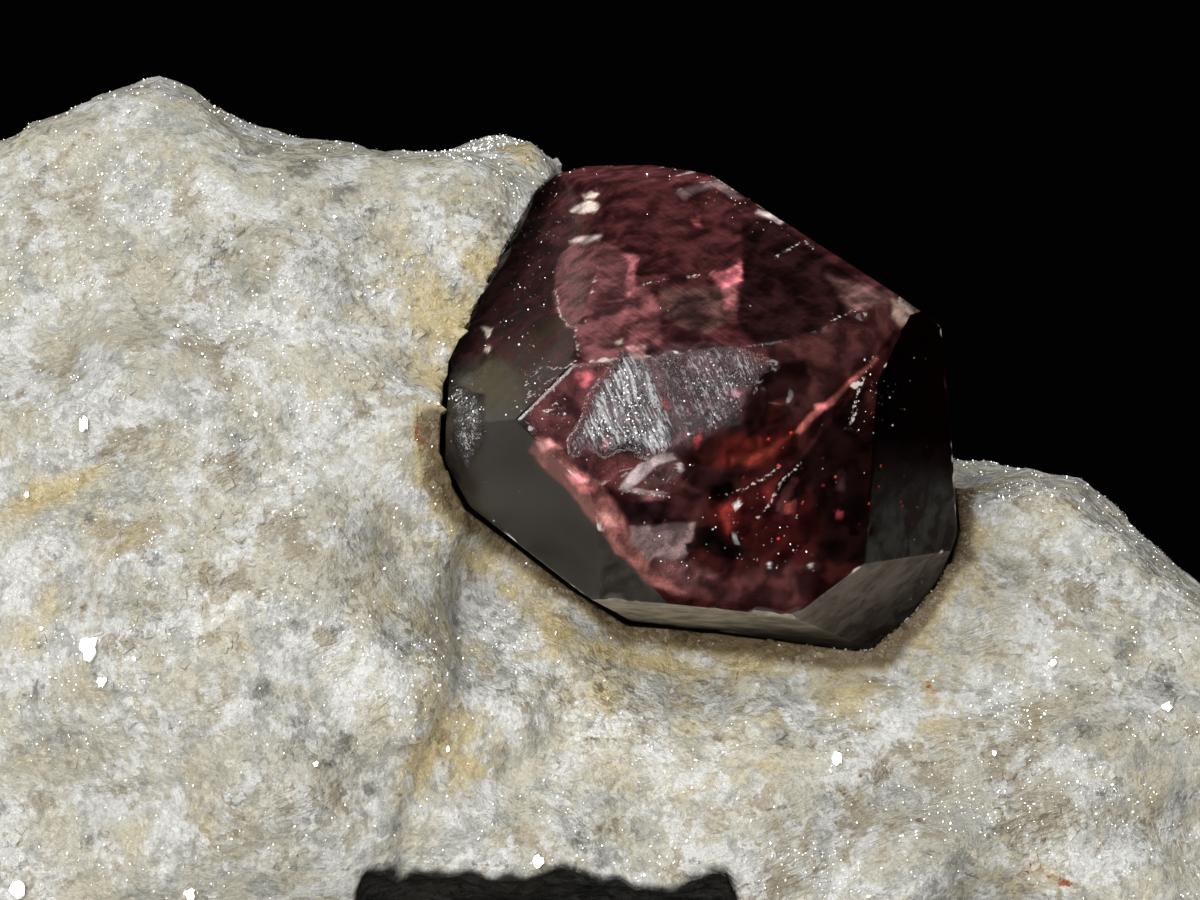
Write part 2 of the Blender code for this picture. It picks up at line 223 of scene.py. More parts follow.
def noise(points, wavelength, seed):
    """Value noise: lattice values a wavelength apart, blended with an S-curve between them."""
    place = points / wavelength
    corner = np.floor(place).astype(np.int64)
    part = smooth_step(place - corner)
    total = 0.0
    for step in np.ndindex(2, 2, 2):
        offset = np.array(step)
        weight = np.prod(np.where(offset, part, 1.0 - part), axis=-1)
        total = total + weight * lattice_value(corner + offset, seed)
    return total


def waves(points, parts, seed, step=1):
    """Noise of several (wavelength, height) added up, each with a seed a step further on."""
    return sum(
        height * noise(points, wavelength, seed + step * index)
        for index, (wavelength, height) in enumerate(parts)
    )


def patches(points, wavelength, seed, low, rise):
    """0 where the noise is below low, 1 where it is above low + rise."""
    return smooth_step((noise(points, wavelength, seed) - low) / rise)


def unit(vectors):
    return vectors / np.linalg.norm(vectors, axis=-1, keepdims=True)


def packed_crystals(points, size, lean, dome, seed):
    """Height of crystals packed side by side: one centre in each lattice cell, and over it a
    plane with its own lean less dome x distance^2; the highest of the nearby ones shows."""
    place = points / size
    corner = np.floor(place).astype(np.int64)
    best = np.full(points.shape[:-1], -np.inf)
    for step in np.ndindex(3, 3, 3):
        cell = corner + np.array(step) - 1
        values = [lattice_value(cell, seed + index) for index in range(6)]
        away = place - cell - 0.5 - CENTRE_STRAY * np.stack(values[:3], axis=-1)
        slope = lean * np.stack(values[3:], axis=-1)
        best = np.maximum(best, (away * slope - dome * away**2).sum(-1))
    return best


def mesh_of(name, points, faces, smooth=True):
    """A mesh from points in mm and a list of index arrays, one for each number of corners."""
    mesh = bpy.data.meshes.new(name)
    mesh.from_pydata((points * MM).tolist(), [], [face for part in faces for face in part.tolist()])
    mesh.validate()
    if smooth:
        mesh.shade_smooth()
    return mesh


def quick_mesh(name, points, quads):
    """A flat-shaded mesh of four-cornered faces, for many small shapes."""
    mesh = bpy.data.meshes.new(name)
    mesh.vertices.add(len(points))
    mesh.vertices.foreach_set("co", (points * MM).astype(np.float32).ravel())
    mesh.loops.add(quads.size)
    mesh.loops.foreach_set("vertex_index", quads.astype(np.int32).ravel())
    mesh.polygons.add(len(quads))
    mesh.polygons.foreach_set("loop_start", np.arange(0, quads.size, 4, dtype=np.int32))
    mesh.update(calc_edges=True)
    mesh.validate()
    mesh.shade_flat()
    return mesh


def mesh_from(body, name):
    """The working mesh body as a new mesh."""
    mesh = bpy.data.meshes.new(name)
    body.to_mesh(mesh)
    body.free()
    return mesh


def ring_faces(index, first, last):
    """Faces of closed rows of point numbers, and of the end points where they aren't None."""
    turned = np.roll(index, -1, axis=1)
    around = index.shape[1]
    faces = [np.stack([index[:-1], index[1:], turned[1:], turned[:-1]], axis=-1).reshape(-1, 4)]
    if first is not None:
        faces.append(np.stack([np.full(around, first), index[0], turned[0]], axis=-1))
    if last is not None:
        faces.append(np.stack([np.full(around, last), turned[-1], index[-1]], axis=-1))
    return faces


def add_object(name, mesh, material=None):
    thing = bpy.data.objects.new(name, mesh)
    bpy.context.scene.collection.objects.link(thing)
    if material is not None:
        mesh.materials.clear()
        mesh.materials.append(material)
    return thing


def finish_piece(piece, slot, *nodes):
    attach(piece, "root")
    if nodes:
        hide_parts(*nodes)


def set_attribute(mesh, name, values):
    layer = mesh.attributes.new(name, "FLOAT", "POINT")
    layer.data.foreach_set("value", np.ascontiguousarray(values, np.float32))


def vertex_points(mesh):
    """The mesh's points in mm, as an array."""
    flat = np.empty(len(mesh.vertices) * 3, np.float32)
    mesh.vertices.foreach_get("co", flat)
    return flat.reshape(-1, 3).astype(np.float64) / MM


# ---------------------------------------------------------------- the front drawing


def view_axes():
    """(the camera's line of sight, the front drawing's way up)."""
    lift = math.radians(VIEW_ELEVATION)
    sight = np.array((0.0, math.cos(lift), -math.sin(lift)))
    return sight, np.array((0.0, math.sin(lift), math.cos(lift)))


def camera_place():
    return Vector((VIEW_TARGET - BASE_CENTRE - VIEW_DISTANCE * view_axes()[0]) * MM)


def front_sight(u, v):
    """The direction from the camera through a point of the front drawing."""
    sight, up = view_axes()
    return Vector(sight * VIEW_DISTANCE + np.array((u, 0.0, 0.0)) + v * up).normalized()


def front_drawing(points):
    """Where points (mm) fall on the front drawing: offsets from the middle line of sight, times
    the distance of the drawing over the distance of the point."""
    sight, up = view_axes()
    away = points - VIEW_TARGET
    reach = VIEW_DISTANCE / (VIEW_DISTANCE + away @ sight)
    return away[:, 0] * reach, (away @ up) * reach


def in_mm(places):
    """Places of the front drawing given in hundredths of a mm."""
    return [(right / 100, up / 100) for right, up in places]


def segment_distance(u, v, start, end):
    du, dv = end[0] - start[0], end[1] - start[1]
    share = np.clip(((u - start[0]) * du + (v - start[1]) * dv) / (du * du + dv * dv), 0.0, 1.0)
    return np.hypot(u - start[0] - share * du, v - start[1] - share * dv)


def line_distance(u, v, line):
    """Distance on the front drawing to a line of several segments."""
    line = in_mm(line)
    return np.min([segment_distance(u, v, *ends) for ends in zip(line, line[1:])], axis=0)


def lines_distance(u, v, lines):
    """Distance on the front drawing to the nearest of the lines, 1 at most."""
    near = np.ones(len(u))
    for line in lines:
        near = np.minimum(near, line_distance(u, v, line))
    return near


def inside_polygon(u, v, corners, soft):
    """1 inside and 0 outside, with a soft edge: the even-odd test and the distance to the edges."""
    corners = in_mm(corners)
    inside = np.zeros(len(u), bool)
    nearest = np.full(len(u), np.inf)
    for (u0, v0), (u1, v1) in zip(corners, corners[1:] + corners[:1]):
        crosses = ((v0 > v) != (v1 > v)) & (u < (u1 - u0) * (v - v0) / ((v1 - v0) or TINY) + u0)
        inside ^= crosses
        nearest = np.minimum(nearest, segment_distance(u, v, (u0, v0), (u1, v1)))
    return smooth_step(0.5 + np.where(inside, nearest, -nearest) / (2.0 * soft))


# ---------------------------------------------------------------- the rock's surface


def relief(x, z, points):
    """The depth at (x, z): each relief point's depth, weighted by 1 / (distance^2 + reach^2)^2."""
    table = np.array(points)
    gap = (x[..., None] - table[:, 0]) ** 2 + (z[..., None] - table[:, 1]) ** 2
    weight = 1.0 / (gap + RELIEF_REACH**2) ** 2
    return (weight * table[:, 2]).sum(-1) / weight.sum(-1)


def front_depth(x, z):
    """The front's relief with the step, the ledges and the hollows."""
    depth = relief(x, z, FRONT_RELIEF)
    line = np.interp(z, STEP_LINE_Z, STEP_LINE_X)
    fade = smooth_step((STEP_TOP - z) / STEP_FADE)
    depth += STEP_HEIGHT * smooth_step((line - x) / STEP_WIDTH + 0.5) * fade
    for x0, z0, x1, z1, height in LEDGES:
        along = (x - x0) / (x1 - x0)
        below = (z0 + along * (z1 - z0) - z) / LEDGE_WIDTH
        ends = smooth_step(along / LEDGE_TAPER) * smooth_step((1.0 - along) / LEDGE_TAPER)
        lower = smooth_step((LEDGE_REACH - below) / LEDGE_FADE)
        depth += height * ends * smooth_step(below + 0.5) * lower
    for hollow_x, hollow_z, radius, drop in HOLLOWS:
        away = np.hypot(x - hollow_x, z - hollow_z) / radius
        depth -= drop * (1.0 - smooth_step(away))
    return depth


def rock_profile(steps):
    """(spread, depth) from the front pole round to the back one, evenly along a squared oval."""
    angle = np.linspace(0.0, math.pi, PROFILE_SAMPLES)
    spread = np.sin(angle) ** RIM_SQUARENESS
    depth = np.sign(np.cos(angle)) * np.abs(np.cos(angle)) ** RIM_SQUARENESS
    length = np.concatenate([[0.0], np.cumsum(np.hypot(np.diff(spread), np.diff(depth)))])
    wanted = length[-1] * (np.arange(1, steps) / steps) ** FRONT_SHARE
    return np.interp(wanted, length, spread), np.interp(wanted, length, depth)


def outline_points(steps):
    """The outline as points (x, z) at even spacing, and the same with its small steps worn away."""
    corners = np.array(ROCK_OUTLINE + ROCK_OUTLINE[:1])
    length = np.concatenate([[0.0], np.cumsum(np.hypot(*np.diff(corners, axis=0).T))])
    wanted = np.linspace(0.0, length[-1], steps, endpoint=False)
    crisp = np.stack([np.interp(wanted, length, corners[:, axis]) for axis in (0, 1)], axis=-1)
    spread = round(WORN_LENGTH / length[-1] * steps)
    worn = sum(np.roll(crisp, shift, axis=0) for shift in range(-spread, spread + 1))
    return crisp, worn / (2 * spread + 1)


def arch_roof(x, y):
    """The roof over (x, y): it falls away to both sides and inward."""
    along = (x - ARCH_FROM) / (ARCH_TO - ARCH_FROM)
    across = smooth_step(along / ARCH_TAPER) * smooth_step((1.0 - along) / ARCH_TAPER)
    inward = 1.0 - smooth_step((y - FRONT_EDGE) / (ARCH_BACK - FRONT_EDGE))
    height = ARCH_HEIGHT + waves(np.stack([x, y, 0.0 * x], axis=-1), ARCH_RAGGED, ARCH_SEED, 0)
    return BELOW_BASE + (height - BELOW_BASE) * across * inward


def raise_arch(points):
    """Lifts what lies below the arch's roof to it: z = roof + w ln(1 + e^((z - roof) / w))."""
    x, y, z = np.moveaxis(points, -1, 0)
    roof = arch_roof(x, y)
    lifted = roof + ARCH_EASE * np.logaddexp(0.0, (z - roof) / ARCH_EASE)
    return np.stack([x, y, lifted], axis=-1)


def rock_surface(steps_round, steps_through):
    """Rows of (x, y, z): rings that pass from a circle s R round the heart to the outline, as
    s ((1 - s^2) circle + s^2 outline), with the relief times the profile's depth as their depth."""
    crisp, worn = outline_points(steps_round)
    spread, depth = rock_profile(steps_through)
    spread = np.concatenate([[0.0], spread, [0.0]])[:, None]
    depth = np.concatenate([[1.0], depth, [-1.0]])[:, None]
    wear = smooth_step(np.abs(depth) / WORN_DEPTH)[..., None]
    reach = crisp * (1.0 - wear) + worn * wear - np.array(HEART)
    reach_x, reach_z = reach[..., 0], reach[..., 1]
    circle = HEART_RADIUS / np.hypot(reach_x, reach_z)
    scale = spread * ((1.0 - spread**2) * circle + spread**2)
    x = HEART[0] + scale * reach_x
    z = HEART[1] + scale * reach_z
    y = np.where(depth > 0.0, -front_depth(x, z), -relief(x, z, BACK_RELIEF)) * depth
    points = np.stack([x, y, z], axis=-1)
    sideways = LUMP_AT_RIM + (1.0 - LUMP_AT_RIM) * wear[..., 0]
    for index, (wavelength, height) in enumerate(LUMPS):
        seeds = (LUMP_SEED + LUMP_SEED_STEP * index + axis for axis in range(3))
        swell = np.stack([noise(points, wavelength, seed) for seed in seeds], axis=-1)
        swell[..., 0] *= sideways
        swell[..., 2] *= sideways
        points = points + height * swell
    points[0] = points[0].mean(axis=0)
    points[-1] = points[-1].mean(axis=0)
    return points


def surface_normals(rows):
    """Unit normals of the rows: the cross product of the steps along and across them."""
    along = np.roll(rows, -1, axis=1) - np.roll(rows, 1, axis=1)
    across = np.gradient(rows, axis=0)
    normal = np.cross(across, along)
    length = np.linalg.norm(normal, axis=-1, keepdims=True)
    normal = normal / np.maximum(length, TINY)
    normal[0] = normal[1].mean(axis=0)
    normal[-1] = normal[-2].mean(axis=0)
    return normal / np.maximum(np.linalg.norm(normal, axis=-1, keepdims=True), TINY)


def rock_skin():
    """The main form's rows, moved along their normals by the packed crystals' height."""
    rows = rock_surface(STEPS_ROUND, STEPS_FRONT_TO_BACK)
    normals = surface_normals(rows)
    height = 0.0
    for index, (size, lean, dome, rise) in enumerate(GRAINS):
        seed = GRAIN_SEED + GRAIN_SEED_STEP * index
        height = height + rise * (packed_crystals(rows, size, lean, dome, seed) - GRAIN_SINK)
    height[0] = height[0].mean()
    height[-1] = height[-1].mean()
    return raise_arch(rows + normals * height[..., None]) - BASE_CENTRE


def closed_rows(rows):
    """(points, faces) of rows of points that close round, with one point at each end."""
    rings, around = rows.shape[0] - 2, rows.shape[1]
    points = np.concatenate([rows[:1, 0], rows[1:-1].reshape(-1, 3), rows[-1:, 0]])
    index = 1 + np.arange(rings * around).reshape(rings, around)
    return points, ring_faces(index, 0, len(points) - 1)


# ---------------------------------------------------------------- the crystal's surface


def face_normals():
    """The way out of each face, from its turn and lift."""
    turn, lift = np.radians(np.array([face[1:3] for face in CRYSTAL_FACES], float)).T
    flat = np.cos(lift)
    return np.stack([np.sin(turn) * flat, -np.cos(turn) * flat, np.sin(lift)], axis=-1)


def crystal_corners(grow=0.0):
    """Where three face planes meet inside all the others: (corner points, normals, offsets)."""
    normals = face_normals()
    offsets = np.array([face[3] for face in CRYSTAL_FACES]) + grow
    count = len(offsets)
    trios = np.array([(i, j, k) for i in range(count) for j in range(i) for k in range(j)])
    sets = normals[trios]
    sound = np.abs(np.linalg.det(sets)) > SMALLEST
    corners = np.linalg.solve(sets[sound], offsets[trios[sound]][..., None])[..., 0]
    inside = (corners @ normals.T <= offsets + SMALLEST).all(axis=1)
    return np.unique(np.round(corners[inside], 6), axis=0), normals, offsets


def face_outline(corners, normal, offset):
    """The corners on one face, in order round it, anticlockwise from outside."""
    own = corners[np.abs(corners @ normal - offset) < ON_FACE]
    middle = own.mean(axis=0)
    right = own[0] - middle
    up = np.cross(normal, right)
    angle = np.arctan2((own - middle) @ up, (own - middle) @ right)
    return own[np.argsort(angle)]


def crystal_face_grid(outline, rows):
    """One face as a fan: centre + t (rim - centre), with the rim sampled evenly along each edge
    and t = sin(pi s / 2), so that the rows crowd towards the edges."""
    rim = []
    for start, end in zip(outline, np.roll(outline, -1, axis=0)):
        steps = max(1, math.ceil(np.linalg.norm(end - start) / EDGE_STEP))
        part = np.arange(steps)[:, None] / steps
        rim.append(start + (end - start) * part)
    rim = np.concatenate(rim)
    middle = outline.mean(axis=0)
    share = np.sin(np.linspace(0.0, 1.0, rows + 1)[1:] * math.pi / 2.0)[:, None, None]
    grid = middle + share * (rim - middle)
    return middle, grid


def crystal_room(points):
    """How far each point lies inside the plane of each face."""
    return np.array([face[3] for face in CRYSTAL_FACES]) - points @ face_normals().T


def worn_crystal(points, normals, offsets):
    """Points of the crystal's skin drawn in near its edges: by a small rounding, and by nicks
    where noise passes a threshold. gap is the distance to the next face's plane."""
    room = np.sort(offsets - points @ normals.T, axis=1)
    gap = np.maximum(room[:, 1], 0.0)
    rounding = EDGE_ROUND * np.maximum(0.0, 1.0 - gap / EDGE_ROUND_REACH) ** 2
    rough = waves(points, NICK_WAVES, NICK_SEED)
    nick = NICK_DEPTH * smooth_step((rough - NICK_FROM) / NICK_RISE)
    nick *= np.maximum(0.0, 1.0 - gap / NICK_REACH) ** 1.5
    return points - unit(points) * (rounding + nick)[:, None]


def crystal_skin():
    """(points, faces, face number of each point) of the whole crystal."""
    corners, normals, offsets = crystal_corners()
    points, quads, fans, owner = [], [], [], []
    count = 0
    for number, (normal, offset) in enumerate(zip(normals, offsets)):
        outline = face_outline(corners, normal, offset)
        if len(outline) < 3:
            continue
        size = np.linalg.norm(outline - outline.mean(axis=0), axis=1).max()
        finest = FRONT_ROWS if number < FRONT_FACES else BACK_ROWS
        rows = max(FEWEST_ROWS, round(finest * min(1.0, size / FULL_FACE)))
        middle, grid = crystal_face_grid(outline, rows)
        around = grid.shape[1]
        index = count + 1 + np.arange(rows * around).reshape(rows, around)
        face_quads, fan = ring_faces(index, count, None)
        quads.append(face_quads)
        fans.append(fan)
        points += [middle[None], grid.reshape(-1, 3)]
        owner.append(np.full(1 + rows * around, number))
        count += 1 + rows * around
    points = np.concatenate(points)
    return worn_crystal(points, normals, offsets), quads + fans, np.concatenate(owner)


def crystal_block(name, grow, sweep=0.0):
    """The crystal's plain solid, each face moved out by grow, and swept towards the camera by a
    share of the way."""
    corners = crystal_corners(grow)[0] + CRYSTAL_CENTRE - BASE_CENTRE
    if sweep:
        camera = np.array(camera_place()) / MM
        corners = np.concatenate([corners, corners + sweep * (camera - corners)])
    body = bmesh.new()
    for corner in corners:
        body.verts.new(corner * MM)
    bmesh.ops.convex_hull(body, input=body.verts[:])
    bmesh.ops.recalc_face_normals(body, faces=body.faces[:])
    return mesh_from(body, name)


# ---------------------------------------------------------------- node helpers


SHIFT = (31.0, 17.0, 5.0)  # sets one pattern of the rock apart from another
LARGE_GRAIN = 0.85
SMALL_GRAIN = 0.30
FIBRES_ALONG = (0.92, 0.0, 0.38)
WISPS_ALONG = (0.55, -0.35, 0.75)
HAIRS_ALONG = (1.0, -1.3, -0.57)
ETCHED_ALONG = (0.4, -0.47, -0.85)
SPARK_SPACING = 0.22
ROCK_REFRACTION = 1.54
FLOOR_CLOUDS = 6.0
FLOOR_DARKER = 0.97
FLOOR_ROUGHNESS = 0.7


def start_material(name):
    """A material with an empty node tree, and its output."""
    material = bpy.data.materials.new(name)
    material.use_nodes = True
    tree = material.node_tree
    tree.nodes.clear()
    return material, tree, tree.nodes.new("ShaderNodeOutputMaterial")


def put(tree, kind, links=(), **values):
    """A new node. Values are its properties, or its inputs by name with _ for a space; links are
    pairs of an input's name or number and the socket that feeds it."""
    new = tree.nodes.new("ShaderNode" + kind)
    for name, value in values.items():
        if hasattr(new, name):
            setattr(new, name, value)
        else:
            new.inputs[name.replace("_", " ")].default_value = value
    for where, socket in links:
        tree.links.new(socket, new.inputs[where])
    return new


def fed(tree, source, where):
    """Feeds an input with a socket, or sets it to a plain value."""
    if isinstance(source, bpy.types.NodeSocket):
        tree.links.new(source, where)
    else:
        where.default_value = source


def math_of(tree, operation, *values, clamp=False):
    new = put(tree, "Math", operation=operation, use_clamp=clamp)
    for value, where in zip(values, new.inputs):
        fed(tree, value, where)
    return new.outputs[0]


def product(tree, first, second, clamp=False):
    return math_of(tree, "MULTIPLY", first, second, clamp=clamp)


def plus(tree, value, factor, rest):
    """value x factor + rest."""
    return math_of(tree, "MULTIPLY_ADD", value, factor, rest)


def most(tree, first, second):
    return math_of(tree, "MAXIMUM", first, second)


def scaled(tree, colour, factor):
    """The colour times a factor."""
    return put(tree, "VectorMath", [(0, colour), ("Scale", factor)], operation="SCALE").outputs[0]


def over(tree, share, under, top):
    """The colour under, with the colour top over it by share."""
    new = put(tree, "Mix", data_type="RGBA")
    fed(tree, share, new.inputs[0])
    for where, colour in ((6, under), (7, top)):
        fed(tree, (*colour, 1.0) if isinstance(colour, tuple) else colour, new.inputs[where])
    return new.outputs[2]


def ranged(tree, value, low, high, new_low=0.0, new_high=1.0):
    """The value's place between low and high, eased, and spread from new_low to new_high."""
    ends = {"From_Min": low, "From_Max": high, "To_Min": new_low, "To_Max": new_high}
    return put(tree, "MapRange", [("Value", value)], interpolation_type="SMOOTHSTEP", **ends).outputs[0]


def mm_place(tree, move=(0.0, 0.0, 0.0), along=None, sizes=(1.0, 1.0, 1.0)):
    """Object coordinates in mm, moved, with Z turned to a direction, and divided by three sizes."""
    place = put(tree, "TexCoord").outputs["Object"]
    new = put(tree, "Mapping", [("Vector", place)], vector_type="TEXTURE")
    new.inputs["Location"].default_value = [part * MM for part in move]
    new.inputs["Scale"].default_value = [part * MM for part in sizes]
    if along is not None:
        new.inputs["Rotation"].default_value = Vector(along).to_track_quat("Z", "Y").to_euler()
    return new.outputs[0]


def cloud(tree, place, size, detail=4.0, rough=0.6, twist=0.0):
    """Noise with lumps of that size in mm, from 0 to 1."""
    look = {"Scale": 1.0 / size, "Detail": detail, "Roughness": rough, "Distortion": twist}
    return put(tree, "TexNoise", [("Vector", place)], **look).outputs["Fac"]


def strands(tree, along, width, length, detail, rough, twist=0.0):
    """Noise with lumps of that width and length in mm, which lie along a direction."""
    place = mm_place(tree, along=along, sizes=(width, width, length))
    return cloud(tree, place, 1.0, detail, rough, twist)


def chips(tree, place, size):
    """Small flat crystals of that size in mm: (height of a plane that leans its own way in each
    cell, random number of the cell)."""
    cells = put(tree, "TexVoronoi", [("Vector", place)], Scale=1.0 / size)
    middle, random = cells.outputs["Position"], cells.outputs["Color"]
    away = put(tree, "VectorMath", [(0, place), (1, middle)], operation="SUBTRACT").outputs[0]
    lean = put(tree, "VectorMath", [(0, random)], operation="SUBTRACT")
    lean.inputs[1].default_value = (0.5, 0.5, 0.5)
    height = put(tree, "VectorMath", [(0, away), (1, lean.outputs[0])], operation="DOT_PRODUCT")
    return height.outputs["Value"], put(tree, "SeparateColor", [(0, random)]).outputs[0]


def mosaic(tree, place, size):
    """Ragged mineral grains of that size in mm: two random numbers of the grain."""
    bend = put(tree, "TexNoise", [("Vector", place)], Scale=2.5 / size, Detail=2.0, Roughness=0.65)
    bent = put(tree, "VectorMath", [(0, bend.outputs["Color"]), (2, place)], operation="MULTIPLY_ADD")
    bent.inputs[1].default_value = (1.3 * size,) * 3
    cells = put(tree, "TexVoronoi", [("Vector", bent.outputs[0])], Scale=1.0 / size)
    random = put(tree, "SeparateColor", [(0, cells.outputs["Color"])])
    return random.outputs[0], random.outputs[1]


def attribute(tree, name):
    return put(tree, "Attribute", attribute_name=name).outputs["Fac"]


# ---------------------------------------------------------------- finishes


def rock_material(looks, name):
    """White sugary rock: white, cream, grey and tan clouds, quartz patches, ochre and rust stains,
    thin dark seams, painted shade along the crystal's lower edge, and two sizes of small leaning
    crystals. The tone attribute holds how light each grain is, and the painted shade under the
    arch. Sizes are in mm; each layer lies over the ones before it."""
    material, tree, output = start_material(name)
    place = mm_place(tree)
    shifted = mm_place(tree, move=SHIFT)
    names = ("ochre", "rust", "quartz", "tan", "seam", "contact", "tone")
    ochre, rust, quartz, tan, seam, contact, tone = (attribute(tree, name) for name in names)
    ochre = most(tree, ochre, contact)
    large, large_other = mosaic(tree, place, LARGE_GRAIN)
    small, small_other = mosaic(tree, shifted, SMALL_GRAIN)
    clouds = cloud(tree, place, 1.1, 3.0, 0.60, 0.5)
    clouds = plus(tree, large, 0.20, plus(tree, small, 0.10, clouds))
    mixed = cloud(tree, shifted, 0.8, 4.0, 0.64, 0.7)
    mixed = plus(tree, large_other, 0.20, plus(tree, small_other, 0.14, mixed))
    fine = cloud(tree, place, 0.13, 3.0, 0.72)
    fibres = product(tree, strands(tree, FIBRES_ALONG, 0.10, 0.9, 3.0, 0.6), tan)
    layers = (  # value, where the layer starts and is full, how far it covers, colour
        (clouds, 0.54, 0.72, 1.0, looks.cream),
        (mixed, 0.70, 0.84, 0.8, looks.grey),
        (plus(tree, fibres, -0.36, mixed), 0.57, 0.44, 0.85, looks.beige),
        (plus(tree, quartz, 0.42, fine), 0.66, 0.92, 0.85, looks.quartz),
        (plus(tree, ochre, 0.6, clouds), 0.72, 1.2, 0.85, looks.ochre),
        (plus(tree, rust, 0.6, fine), 0.70, 0.95, 1.0, looks.rust),
    )
    colour = tuple(looks.white)
    for value, start, full, cover, top in layers:
        colour = over(tree, ranged(tree, value, start, full, 0.0, cover), colour, tuple(top))
    line = ranged(tree, math_of(tree, "ADD", seam, plus(tree, fine, 0.3, -0.15)), 0.06, 0.0, 0.0, 0.8)
    line = product(tree, line, ranged(tree, mixed, 0.55, 0.72, 1.0, 0.2))
    # painted shade: the rock is darkened along the crystal's lower edge, where the crystal shades it
    painted_contact_shade = ranged(tree, plus(tree, fine, 0.3, contact), 0.60, 0.95, 0.0, 0.92)
    for share in (line, painted_contact_shade):
        colour = over(tree, share, colour, tuple(looks.seam))
    colour = scaled(tree, colour, product(tree, ranged(tree, fine, 0.3, 0.7, 0.86, 1.10), tone))
    middle_height, middle_random = chips(tree, place, 0.15)
    small_height, _ = chips(tree, shifted, 0.06)
    broken = ranged(tree, cloud(tree, shifted, 1.5, 2.0), 0.40, 0.62, 0.3, 1.0)
    height = product(tree, plus(tree, small_height, 0.4, middle_height), broken)
    height = plus(tree, cloud(tree, shifted, 0.33, 3.0, 0.66), 0.14, height)
    height = plus(tree, fibres, 0.22, height)
    bump = put(tree, "Bump", [("Height", height)], Distance=MM, Strength=0.85)
    rough = ranged(tree, middle_random, 0.0, 1.0, 0.2, 0.5)
    feeds = [("Base Color", colour), ("Roughness", rough), ("Normal", bump.outputs[0])]
    surface = put(tree, "BsdfPrincipled", feeds, IOR=ROCK_REFRACTION)
    tree.links.new(surface.outputs[0], output.inputs["Surface"])
    return material


def bright_material(name):
    """Silver-white scales."""
    material, tree, output = start_material(name)
    rough = ranged(tree, cloud(tree, mm_place(tree), 0.05, 2.0), 0.3, 0.7, 0.12, 0.3)
    look = {"Base_Color": (0.84, 0.84, 0.81, 1.0), "Metallic": 0.35, "IOR": 1.9}
    surface = put(tree, "BsdfPrincipled", [("Roughness", rough)], **look)
    tree.links.new(surface.outputs[0], output.inputs["Surface"])
    return material


def garnet_marks(tree, place, frost, etch, smear, wisps, grit):
    """(pale marks, painted silvery sheen on the etching, painted red glints, streaks), each from 0 to 1."""
    flecks, crack, chipped, sparks = (
        attribute(tree, name) for name in ("flecks", "crack", "chipped", "sparks")
    )
    streaks = strands(tree, ETCHED_ALONG, 0.028, 0.2, 3.0, 0.6, 1.2)
    line = ranged(tree, math_of(tree, "ADD", crack, plus(tree, grit, 0.26, -0.125)), 0.02, 0.0)
    line = product(tree, line, ranged(tree, smear, 0.36, 0.5))
    dust = ranged(tree, plus(tree, flecks, 0.30, wisps), 0.88, 0.95)
    dust = product(tree, dust, ranged(tree, grit, 0.48, 0.60))
    chips_on = ranged(tree, plus(tree, chipped, 0.35, smear), 0.80, 0.90)
    scratches = product(tree, frost, ranged(tree, streaks, 0.50, 0.72, 0.0, 0.1))
    marks = most(tree, most(tree, most(tree, line, dust), chips_on), scratches)
    flows = strands(tree, ETCHED_ALONG, 0.13, 0.7, 4.0, 0.65, 1.0)
    glitter = plus(tree, etch, 0.20, plus(tree, grit, 0.7, streaks))
    # painted highlight: the silvery sheen where the etched face catches the light
    painted_sheen = product(tree, etch, ranged(tree, glitter, 0.93, 1.07))
    painted_sheen = product(tree, painted_sheen, ranged(tree, flows, 0.42, 0.60, 0.15, 1.0))
    points = put(tree, "TexVoronoi", [("Vector", place)], Scale=1.0 / SPARK_SPACING)
    spark = product(tree, sparks, ranged(tree, points.outputs["Distance"], 0.20, 0.12))
    random = put(tree, "SeparateColor", [(0, points.outputs["Color"])]).outputs[0]
    spark = product(tree, spark, ranged(tree, random, 0.82, 0.88))
    return marks, painted_sheen, spark, streaks


